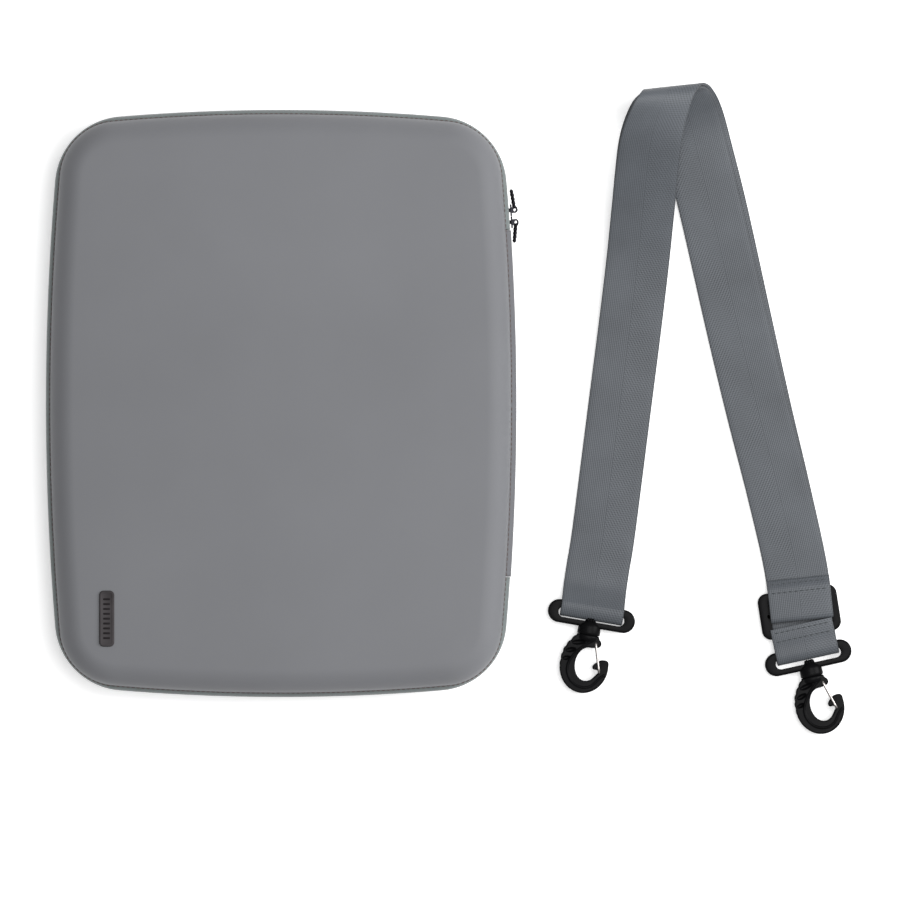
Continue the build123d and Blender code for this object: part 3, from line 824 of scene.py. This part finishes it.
def bar_wrap(hook, reach, steps=14):
    """Loose half turn under, round and over a hook's bar, reaching beyond the bar's middle."""
    radius_y, radius_z = reach, 3.5 * MM
    result = []
    for i in range(steps + 1):
        a = math.radians(270 - 180 * i / steps)
        offset = hook.y * math.cos(a) * radius_y + Vector((0, 0, math.sin(a) * radius_z))
        normal = (hook.y * math.cos(a) / radius_y + Vector((0, 0, math.sin(a) / radius_z))).normalized()
        result.append((hook.bar + offset, hook.x.copy(), normal))
    return result


def layer_stations(rows, sign):
    """Stations of the upper (+1) or lower (-1) layer, the normal always away from the other one."""
    centres = [Vector(row[:3]) * MM for row in rows]
    result = []
    total = len(rows) - 1
    for i, row in enumerate(rows):
        run = (centres[min(i + 1, total)] - centres[max(i - 1, 0)]).normalized()
        turn, tilt = math.radians(row[4]), math.radians(row[5])
        across = Vector((math.cos(turn) * math.cos(tilt), math.sin(turn) * math.cos(tilt), math.sin(tilt)))
        normal = across.cross(run).normalized() * sign
        centre = centres[i] + normal * row[3] * MM
        if sign > 0:
            centre += across * row[6] * MM
        else:
            centre -= across * 2.4 * row[3] * MM * math.sin(tilt)
        result.append((centre, across, normal))
    return result


def in_adjuster(x, y, z):
    """Point of the tri-glide's frame, given in millimetres."""
    c, s = math.cos(ADJUSTER_TURN), math.sin(ADJUSTER_TURN)
    return ADJUSTER_CENTRE + Vector((x * c - y * s, x * s + y * c, z)) * MM


def ribbon_through(points, across, up_first):
    """Stations along given points with a fixed across direction; normals start near up_first."""
    result = []
    last = up_first
    for i, point in enumerate(points):
        run = (points[min(i + 1, len(points) - 1)] - points[max(i - 1, 0)]).normalized()
        side = (across - run * across.dot(run)).normalized()
        normal = side.cross(run).normalized()
        if normal.dot(last) < 0:
            normal = -normal
        last = normal
        result.append((point, side, normal))
    return result


def eased(points, steps=5):
    """Extra points on a smooth curve through the given ones."""
    return [Vector(row) for row in smooth_path([tuple(p) for p in points], steps)]


def build_strap():
    """One webbing: from its end under the tri-glide, over the loop, round hook A's bar and back."""
    rows = smooth_path([tuple(r) for r in STRAP_ROUTE], 10)
    outer = layer_stations(rows, 1)
    inner = layer_stations(rows, -1)
    glide_y = in_adjuster(0, 1, 0).y
    half_way = len(inner) // 2
    ends = [i for i in range(half_way, len(inner)) if inner[i][0].y > glide_y]
    stations = inner[:ends[-1] + 1][::-1]
    flips = [-1] * len(stations)
    stations += bar_wrap(HOOKS[0], 7.1 * MM)[1:-1]
    stations += outer
    stations += bar_wrap(HOOKS[1], 5.35 * MM)[1:-1]
    fold = eased([over_hook_b(0.0, along, height) for along, height in FOLD_PATH])
    stations += ribbon_through(fold, HOOKS[1].x, Vector((0, 0, 1)))
    flips += [1] * (len(stations) - len(flips))
    strap, length = strip("strap_webbing_woven", stations, flips=flips)
    tidy_mesh(strap)
    finish_piece(strap, WEBBING, "strap", "webbing", "strap_webbing")
    seams = []
    for along in (8.1, 13.4):
        seams.append(seam_across("hook_b_seam", fold_point, along))
    row = joined("hook_b_fold_stitches", seams)
    finish_piece(row, STRAP_THREAD, "strap", "webbing")


def fold_point(x, along):
    """Top surface of the fold between hook B's bar and the tri-glide's lower bar."""
    for (near, high), (far, low) in zip(FOLD_PATH, FOLD_PATH[1:]):
        if along <= far:
            break
    height = high + (low - high) * (along - near) / (far - near)
    return over_hook_b(x, along, height + LAYER / 2 / MM)


def tail_height(y):
    """Height of the sewn tail's middle surface over the tri-glide's upper bar."""
    if y > 14.5:
        t = min(1.0, (y - 14.5) / 6.0)
        return 7.05 - 3.15 * t * t * (3 - 2 * t)
    return 7.05


def tail_middle(y):
    """How far the tail's middle is beside the tri-glide's."""
    return 1.2 + 0.05 * y


def tail_point(x, y):
    return in_adjuster(x + tail_middle(y), y - 0.05 * x, tail_height(y) + LAYER / 2 / MM)


def seam_across(name, surface, y, dash=2.6, pitch=3.35, half=16.8):
    """One row of lock stitches across the webbing at a distance along it."""
    count = 24
    points = [surface(-half + 2 * half * i / count, y) for i in range(count + 1)]
    normals = [Vector((0, 0, 1))] * len(points)
    return stitch_run(name, points, normals, dash * MM, pitch * MM, 0.36 * MM, lift=0.2)


def build_tail():
    """The sewn end that goes round the tri-glide's middle bar and back over its upper bar."""
    points = [in_adjuster(tail_middle(y), y, tail_height(y))
              for y in (20.2, 19.0, 17.5, 16.0, 14.5, 12.0, 9.0, 6.0, 3.0, 0.0)]
    points += eased([in_adjuster(tail_middle(y), y, z)
                     for y, z in ((-2.3, 7.0), (-3.7, 6.6), (-4.6, 5.7), (-4.3, 4.6), (-3.2, 3.95))], 4)
    across = in_adjuster(1, -0.05, 0) - in_adjuster(0, 0, 0)
    stations = ribbon_through(points, across.normalized(), Vector((0, 0, 1)))
    tail, length = strip("strap_tail_woven", stations)
    tidy_mesh(tail)
    finish_piece(tail, WEBBING, "adjuster", "webbing", "strap_tail")
    row = joined("tail_stitches", [seam_across("tail_seam", tail_point, 17.9),
                                   seam_across("tail_seam", tail_point, 12.7)])
    finish_piece(row, STRAP_THREAD, "adjuster", "webbing")


# ---------------------------------------------------------------- plastic hardware
def tube(name, points, radius, sides=10, closed=False):
    """Round wire along a line of points."""
    rings = []
    count = len(points)
    for i, point in enumerate(points):
        before = points[(i - 1) % count] if closed else points[max(i - 1, 0)]
        after = points[(i + 1) % count] if closed else points[min(i + 1, count - 1)]
        run = (after - before).normalized()
        side = run.cross(Vector((0, 0, 1)))
        side = side.normalized() if side.length > 0.05 else run.cross(Vector((1, 0, 0))).normalized()
        lift = side.cross(run).normalized()
        rings.append([point + side * radius * c + lift * radius * d for c, d in circle(sides)])
    return loft(name, rings, cap=not closed, close_path=closed)


def softened(node_name, name, width, segments=3):
    """A copy of a CAD piece with its sharp edges rounded."""
    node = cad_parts[node_name]
    mesh = node.data.copy()
    obj = bpy.data.objects.new(name, mesh)
    obj.matrix_world = node.matrix_world.copy()
    bpy.context.scene.collection.objects.link(obj)
    bm = bmesh.new()
    bm.from_mesh(mesh)
    bmesh.ops.remove_doubles(bm, verts=bm.verts, dist=1e-6)
    bmesh.ops.dissolve_limit(bm, angle_limit=math.radians(0.6), verts=bm.verts, edges=bm.edges)
    bm.to_mesh(mesh)
    bm.free()
    mesh.materials.clear()
    modified(obj, "BEVEL", width=width, segments=segments, limit_method="ANGLE",
             angle_limit=math.radians(35), harden_normals=False, use_clamp_overlap=True)
    obj.data.polygons.foreach_set("use_smooth", [True] * len(obj.data.polygons))
    obj.data.set_sharp_from_angle(angle=math.radians(32))
    return obj


def hook_outline():
    """Edge of the hook body in its own frame, in millimetres, clockwise from the nose."""
    # Nose and outer bend, from the nose's outer corner down round the bottom to the back.
    points = arc((0.6, -30.3), (14.7, 16.4), 8, -170, 48)
    # Scalloped back, up to the barrel.
    start, end = points[-1], (-6.9, -12.2)
    bumps, steps = 5, 60
    for i in range(1, steps + 1):
        t = i / steps
        bulge = 2.6 * math.sin(math.pi * t)
        x = start[0] + (end[0] - start[0]) * t - bulge
        y = start[1] + (end[1] - start[1]) * t + bulge * 0.35
        ripple = 0.55 * abs(math.sin(math.pi * bumps * t)) - 0.25
        points.append((x - ripple * 0.85, y + ripple * 0.5))
    points += [(-6.9, -11.6), (6.6, -11.6), (6.9, -12.6)]
    # Rounded lug over the gate's pivot, then the inside of the bend, down the back and up to the nose.
    points += arc((6.3, -15.9), (2.5, 2.5), 62, -96, 12)
    points += arc((2.2, -29.0), (7.2, 10.1), 82, 308, 48)
    # Notch for the gate's tip, the nose's inner lobe and its blunt top.
    points += [(8.6, -34.3), (9.6, -33.0), (9.7, -32.2), (8.7, -31.5), (7.4, -31.4), (6.5, -31.5),
               (5.8, -30.9), (5.6, -29.9), (5.9, -28.9), (6.6, -27.9), (7.8, -26.8), (9.0, -25.9),
               (10.2, -25.2), (12.2, -24.9), (13.6, -25.0), (14.6, -25.6), (15.1, -26.6)]
    return points


def resampled(points, step):
    """Evenly spaced points along a closed line."""
    result = []
    carry = 0.0
    for i, a in enumerate(points):
        b = points[(i + 1) % len(points)]
        span = math.dist(a, b)
        d = carry
        while d < span:
            t = d / span
            result.append((a[0] + (b[0] - a[0]) * t, a[1] + (b[1] - a[1]) * t))
            d += step
        carry = d - span
    return result


def inset_line(points, distance):
    """A closed line moved to its inside by a distance, whichever way round it runs."""
    area = sum(a[0] * b[1] - b[0] * a[1] for a, b in zip(points, points[1:] + points[:1]))
    sign = 1 if area > 0 else -1
    count = len(points)
    result = []
    for i, p in enumerate(points):
        a, b = points[(i - 2) % count], points[(i + 2) % count]
        dx, dy = b[0] - a[0], b[1] - a[1]
        size = math.hypot(dx, dy) or 1.0
        result.append((p[0] - sign * dy / size * distance, p[1] + sign * dx / size * distance))
    return result


def nose_thinning(x, y):
    """Share of the full thickness: the gate's side of the bend is thinner."""
    if y > -24:
        return 1.0
    ramp = max(0.0, min(1.0, (x - 2.0) / 6.0)) * min(1.0, (-24 - y) / 2.0)
    return 1.0 - 0.18 * ramp


# In the hook's frame, millimetres: each dimple's middle, turn in degrees, half length and half width;
# the raised line from the barrel down the arm's middle to the nose; the barrel's profile, as
# (y, growth of its half sizes); the collar's profile, as (y, half width, half height).
DIMPLES = ((-5.0, -16.7, 12, 4.2, 1.5), (-8.9, -22.0, 18, 3.3, 1.45), (-10.6, -27.2, 18, 2.5, 1.3))
RIDGE_TRAIL = [(3.4, -14.4), (0.6, -16.4), (-2.6, -19.4), (-5.6, -22.9), (-8.0, -27.0),
               (-9.2, -31.5), (-8.4, -36.0), (-5.6, -40.2), (-1.6, -42.6), (3.0, -43.0),
               (7.0, -41.2), (9.6, -38.0), (11.4, -35.6), (13.6, -33.6)]
BARREL = ((-11.42, -0.5), (-11.5, -0.1), (-11.9, 0.35), (-12.6, 0.5), (-13.6, 0.4), (-14.6, 0.0),
          (-15.3, -0.9))
COLLAR = ((-1.3, 2.3, 2.0), (-1.6, 2.9, 2.5), (-2.9, 3.1, 2.7), (-3.4, 3.6, 3.0), (-4.3, 5.0, 3.8),
          (-5.2, 6.2, 4.5), (-6.6, 6.7, 4.85), (-9.8, 6.9, 5.0), (-11.0, 6.8, 4.95), (-11.35, 6.4, 4.6))


def build_hook_body(hook):
    """Moulded hook: rounded arm, ribbed back with three dimples, raised line and blunt nose."""
    line = resampled(hook_outline(), 0.42)
    rings = []
    for inset, z in ((0.6, -3.4), (0.25, -3.1), (0.0, -2.6), (0.0, 2.6), (0.25, 3.1), (0.6, 3.4)):
        rings.append([Vector((x, y, z * nose_thinning(x, y))) for x, y in inset_line(line, inset)])
    arm = tidy_mesh(loft(f"hook_{hook.letter}_arm", rings, cap=True))
    cutters = []
    for x, y, turn, long, wide in DIMPLES:
        bm = bmesh.new()
        bmesh.ops.create_uvsphere(bm, u_segments=24, v_segments=14, radius=1.0)
        mesh = bpy.data.meshes.new("dimple")
        bm.to_mesh(mesh)
        bm.free()
        c, s = math.cos(math.radians(turn)), math.sin(math.radians(turn))
        for vertex in mesh.vertices:
            px, py, pz = vertex.co.x * long, vertex.co.y * wide, vertex.co.z * 2.2
            vertex.co = (x + px * c - py * s, y + px * s + py * c, 3.9 + pz)
        cutters.append(bpy.data.objects.new("dimple", mesh))
        bpy.context.scene.collection.objects.link(cutters[-1])
    for cutter in cutters:
        modified(arm, "BOOLEAN", object=cutter, operation="DIFFERENCE", solver="EXACT")
        bpy.data.objects.remove(cutter)
    ridges = []
    for sign in (-1, 1):
        points = [Vector((x, y, sign * 3.5 * nose_thinning(x, y))) for x, y in smooth_path(RIDGE_TRAIL, 6)]
        ridges.append(tube("ridge", points, 0.5, sides=8))
    # Barrel that turns on the pin, with a shallow groove.
    barrel = []
    for y, grow in BARREL:
        barrel.append([Vector(((6.3 + grow) * c, y, (4.7 + grow) * d)) for c, d in circle(40)])
    collar = tidy_mesh(loft("barrel", barrel, cap=True))
    body = joined(f"hook_{hook.letter}_body_moulded", [arm, collar] + ridges)
    modified(body, "REMESH", mode="VOXEL", voxel_size=0.26, use_smooth_shade=True)
    modified(body, "SMOOTH", factor=0.5, iterations=3)
    body.data.materials.clear()
    hook.place(body)
    finish_piece(body, BLACK_PLASTIC, f"swivel_{hook.letter}", "black_plastic", f"hook_{hook.letter}_body")


def both_faces(rounding):
    """A profile of (inset, half thickness) rows, from the lower face up to the upper one."""
    return [(inset, -z) for inset, z in reversed(rounding)] + rounding


def capsule(width, height, centre_y):
    """Points of a slot shape with round ends."""
    radius = height / 2
    x = width / 2 - radius
    return (arc((x, centre_y), (radius, radius), -90, 90, 24)
            + arc((-x, centre_y), (radius, radius), 90, 270, 24))


def build_hook_loop(hook):
    """Flat slotted loop with rounded edges, its collar and the swivel's pin."""
    rings = [level(capsule(53.0 - 2 * inset, 14.0 - 2 * inset, 0.0), z)
             for inset, z in both_faces(arc((1.3, 1.2), (-1.3, 1.3), 0, 90, 4))]
    hole = [level(capsule(40.0 + 2 * inset, 6.4 + 2 * inset, -0.2), z)
            for inset, z in both_faces(arc((0.5, 2.0), (-0.5, 0.5), 0, 90, 3))]
    rim = tidy_mesh(loft("loop_rim", rings + hole[::-1], close_path=True))
    pin = [[Vector((rx * c, y, rz * d)) for c, d in circle(40)] for y, rx, rz in COLLAR]
    collar = tidy_mesh(loft("collar", pin, cap=True))
    ribs = []
    for x in (-1.5, 0.0, 1.5):
        line = [Vector((x, y, z)) for y, z in ((-1.2, 2.0), (-2.2, 2.6), (-3.6, 2.9))]
        ribs.append(tube("pin_rib", line, 0.4, sides=8))
    loop = joined(f"hook_{hook.letter}_loop_moulded", [rim, collar] + ribs)
    hook.place(loop)
    finish_piece(loop, BLACK_PLASTIC, "strap", "black_plastic", f"hook_{hook.letter}_loop")


def build_gate(hook):
    """Sprung wire gate: one bent wire with its two legs either side of the nose."""
    pivot, tip = Vector((5.3, -15.9, 0)), Vector((10.1, -32.4, 0))
    side = 3.4
    legs = []
    for sign in (1, -1):
        height = Vector((0, 0, sign * side))
        leg = [pivot + Vector((0, 0.6, sign * 1.6)), pivot + Vector((0, 0.3, sign * (side - 0.5))),
               pivot + Vector((0.15, -0.4, 0)) + height]
        leg += [pivot.lerp(tip, i / 8) + height for i in range(1, 9)]
        legs.append(leg)
    bend = [tip + Vector((0.12, -0.5, z)) for z in (2.6, 1.5, 0.0, -1.5, -2.6)]
    wire = tube(f"hook_{hook.letter}_gate_wire", legs[0] + bend + legs[1][::-1], 0.75, sides=12)
    hook.place(wire)
    finish_piece(wire, SPRING_WIRE, f"gate_{hook.letter}", "gate_wire", f"hook_{hook.letter}_gate")


def build_glide():
    """Tri-glide: a rounded frame with a middle bar."""
    mid_z = 4.7
    outer, hole, bar = [], [], []
    for inset, z in both_faces(arc((1.1, 0.4), (-1.1, 1.1), 0, 90, 3)):
        for rings, line in ((outer, rounded_rectangle(48 - 2 * inset, 28 - 2 * inset, 5.5 - inset)),
                            (hole, rounded_rectangle(34.6 + inset, 20 + inset, 2.0)),
                            (bar, rounded_rectangle(39.0, 4 - 2 * inset * 0.8, 0.6))):
            rings.append([in_adjuster(x, y, mid_z + z) for x, y in line])
    rim = tidy_mesh(loft("glide_rim", outer + hole[::-1], close_path=True))
    middle = tidy_mesh(loft("glide_bar", bar, cap=True))
    return joined("strap_adjuster_moulded", [rim, middle])


def build_hardware():
    for hook in HOOKS:
        build_hook_loop(hook)
        build_hook_body(hook)
        build_gate(hook)
    glide = build_glide()
    finish_piece(glide, BLACK_PLASTIC, "adjuster", "black_plastic", "strap_adjuster")


# ---------------------------------------------------------------- zipper and small parts
def build_coils():
    """Zipper teeth: two facing rows of small wire loops on the tapes' edges."""
    points = flat_line(1.75 * MM)
    points.append(points[0])
    pitch = 1.5 * MM
    for half, up, body in HALVES:
        verts, faces = [], []
        travelled, target = 0.0, 0.0
        for a, b in zip(points, points[1:]):
            span = (b - a).length
            while target <= travelled + span:
                place = a.lerp(b, (target - travelled) / span)
                target += pitch
                if place.x > 0 and abs(place.y) < GUSSET_END + 0.6 * MM:
                    continue
                run = (b - a).normalized()
                out = run.cross(Vector((0, 0, 1)))
                base = len(verts)
                rings, sides = 7, 6
                for k in range(rings):
                    t = math.radians(-80 + 340 * k / (rings - 1))
                    middle = place + out * 0.45 * MM * math.cos(t) + run * 0.18 * MM * math.sin(t / 2)
                    middle.z = lid_side(up, 0.95 * MM + 0.42 * MM * math.sin(t))
                    spoke = out * math.cos(t) + Vector((0, 0, (1 if up else -1) * math.sin(t)))
                    for c, d in circle(sides):
                        verts.append(middle + spoke * 0.26 * MM * c + run * 0.42 * MM * d)
                faces += skin(base, rings, sides) + end_faces(base, rings, sides)
            travelled += span
        teeth = tidy_mesh(new_object(f"{half}_zipper_teeth", verts, faces))
        finish_piece(teeth, COIL_PLASTIC, body, "coil", f"{half}_zipper_coil")


def build_pulls():
    """Slim corded metal pulls, hanging close to the case."""
    for side, sign in (("upper", 1), ("lower", -1)):
        low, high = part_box(f"zipper_pull_{side}")
        middle = (low + high) / 2
        length = high.y - low.y
        start = low.y if sign > 0 else high.y
        rings = []
        steps = 60
        for i in range(steps + 1):
            t = i / steps
            swell = 0.75 + 0.25 * abs(math.sin(math.pi * 5 * t))
            ends = math.sqrt(max(0.04, 1 - abs(2 * t - 1) ** 8))
            lean = (0.2 * MM - 2.0 * MM * t) if sign > 0 else (-0.3 * MM - 0.9 * MM * t)
            centre = Vector((middle.x + lean, start + sign * length * (0.10 + 0.9 * t), middle.z))
            size = swell * ends * MM
            rings.append([centre + Vector((1.3 * size * c, 0, 1.9 * size * d))
                          for c, d in circle(20)])
        bar = tidy_mesh(loft("pull_bar", rings, cap=True))
        eye_centre = Vector((middle.x + sign * 0.3 * MM, start + sign * 0.9 * MM, middle.z))
        eye = [eye_centre + Vector((1.25 * c, 1.7 * d, 0)) * MM for c, d in circle(24)]
        ring = tube("pull_eye", eye, 0.55 * MM, sides=10, closed=True)
        pull = joined(f"zipper_pull_{side}_corded", [bar, ring])
        finish_piece(pull, GUNMETAL, f"pull_{side}", "gunmetal", f"zipper_pull_{side}")
        slider = softened(f"zipper_slider_{side}", f"zipper_slider_{side}_plate", 0.2 * MM, segments=2)
        low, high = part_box(f"zipper_slider_{side}")
        foot = Vector((low.x + 1.2 * MM, (low.y + high.y) / 2, (low.z + high.z) / 2))
        shield = []
        for a in (math.radians(90 * i / 8) for i in range(9)):
            long, tall = 3.4 * (0.35 + 0.65 * math.cos(a)), 2.6 * (0.45 + 0.55 * math.cos(a))
            shield.append([foot + Vector((1.5 * math.sin(a), long * c, tall * d)) * MM
                           for c, d in circle(32)])
        dome = tidy_mesh(loft("slider_dome", shield, cap=True))
        slider = joined(f"zipper_slider_{side}_cast", [slider, dome])
        finish_piece(slider, GUNMETAL, f"slider_{side}", "gunmetal", f"zipper_slider_{side}")


def build_pocket():
    """Mesh pocket in the lid and the elastic band across the base, with sewn edges."""
    for node_name, cloth, body, slot in (("lid_pocket", MESH_CLOTH, "lid", "mesh"),
                                         ("lid_pocket_binding", ELASTIC_CLOTH, "lid", "elastic"),
                                         ("base_elastic_band", ELASTIC_CLOTH, "root", "elastic")):
        piece = softened(node_name, f"{node_name}_cloth", 0.25 * MM, segments=2)
        finish_piece(piece, cloth, body, slot, node_name)
    low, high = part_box("base_elastic_band")
    middle = (low.y + high.y) / 2
    rows = []
    for x in (low.x + 4 * MM, high.x - 4 * MM):
        points = [Vector((x, middle + 10.5 * MM * (2 * i / 12 - 1), high.z)) for i in range(13)]
        ups = [Vector((0, 0, 1))] * len(points)
        rows.append(stitch_run("elastic_tack", points, ups, 1.6 * MM, 2.2 * MM, 0.3 * MM))
    tacks = joined("base_elastic_tacks", rows)
    finish_piece(tacks, STRAP_THREAD, "root", "elastic")


def build_d_rings():
    """Folded webbing tabs sewn to the short sides, each holding a D-ring."""
    for end in ("top", "bottom"):
        tab = softened(f"d_ring_tab_{end}", f"d_ring_tab_{end}_webbing", 0.35 * MM, segments=2)
        layer = tab.data.uv_layers.new(name="UVMap") if not tab.data.uv_layers else tab.data.uv_layers[0]
        for loop in tab.data.loops:
            co = tab.data.vertices[loop.vertex_index].co
            layer.data[loop.index].uv = (co.x, co.z + co.y)
        finish_piece(tab, WEBBING, "root", "webbing", f"d_ring_tab_{end}")
        ring = softened(f"d_ring_{end}", f"d_ring_{end}_wire", 0.2 * MM, segments=2)
        finish_piece(ring, NICKEL, f"ring_{end}", "d_ring", f"d_ring_{end}")


# ---------------------------------------------------------------- camera, light and floor
def build_camera():
    """Straight down, from far enough to be nearly without perspective."""
    camera_data = bpy.data.cameras.new("camera")
    camera = bpy.data.objects.new("camera", camera_data)
    bpy.context.scene.collection.objects.link(camera)
    height = 6.0
    field = 0.540
    camera_data.sensor_width = 36.0
    camera_data.lens = 36.0 * height / field
    camera_data.clip_end = 50.0
    camera.location = (0.1014, -0.0279, height + 0.022)
    camera.rotation_euler = (0.0, 0.0, 0.0)
    bpy.context.scene.camera = camera


def area_light(name, location, target, size, power):
    data = bpy.data.lights.new(name, "AREA")
    data.shape = "RECTANGLE"
    data.size, data.size_y = size
    data.energy = power
    light = bpy.data.objects.new(name, data)
    light.location = location
    direction = Vector(target) - Vector(location)
    light.rotation_euler = direction.to_track_quat("-Z", "Y").to_euler()
    bpy.context.scene.collection.objects.link(light)


def build_stage():
    half = 6.0
    corners = [(-half, -half, 0), (half, -half, 0), (half, half, 0), (-half, half, 0)]
    floor = new_object("floor", corners, [(0, 1, 2, 3)])
    floor.location.z = -0.4 * MM
    floor.data.materials.append(pale_floor("paper"))
    world = bpy.data.worlds.new("studio")
    world.use_nodes = True
    background = world.node_tree.nodes["Background"]
    background.inputs["Color"].default_value = (1.0, 1.0, 1.0, 1.0)
    background.inputs["Strength"].default_value = 0.36
    bpy.context.scene.world = world
    bpy.context.scene.view_settings.view_transform = "Standard"
    area_light("key", (1.6, 0.25, 1.2), (0.05, 0, 0), (0.8, 1.1), 28.5)
    area_light("top", (0.5, 0.1, 2.4), (0.1, 0, 0), (1.6, 1.2), 37.0)


build_camera()
build_stage()
build_shells()
build_bands()
build_spine()
build_rim_stitches()
build_badge()
build_strap()
build_tail()
build_hardware()
build_coils()
build_pulls()
build_pocket()
build_d_rings()

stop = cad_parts["zipper_bottom_stop"]
stop.data.materials.clear()
stop.data.materials.append(GUNMETAL)
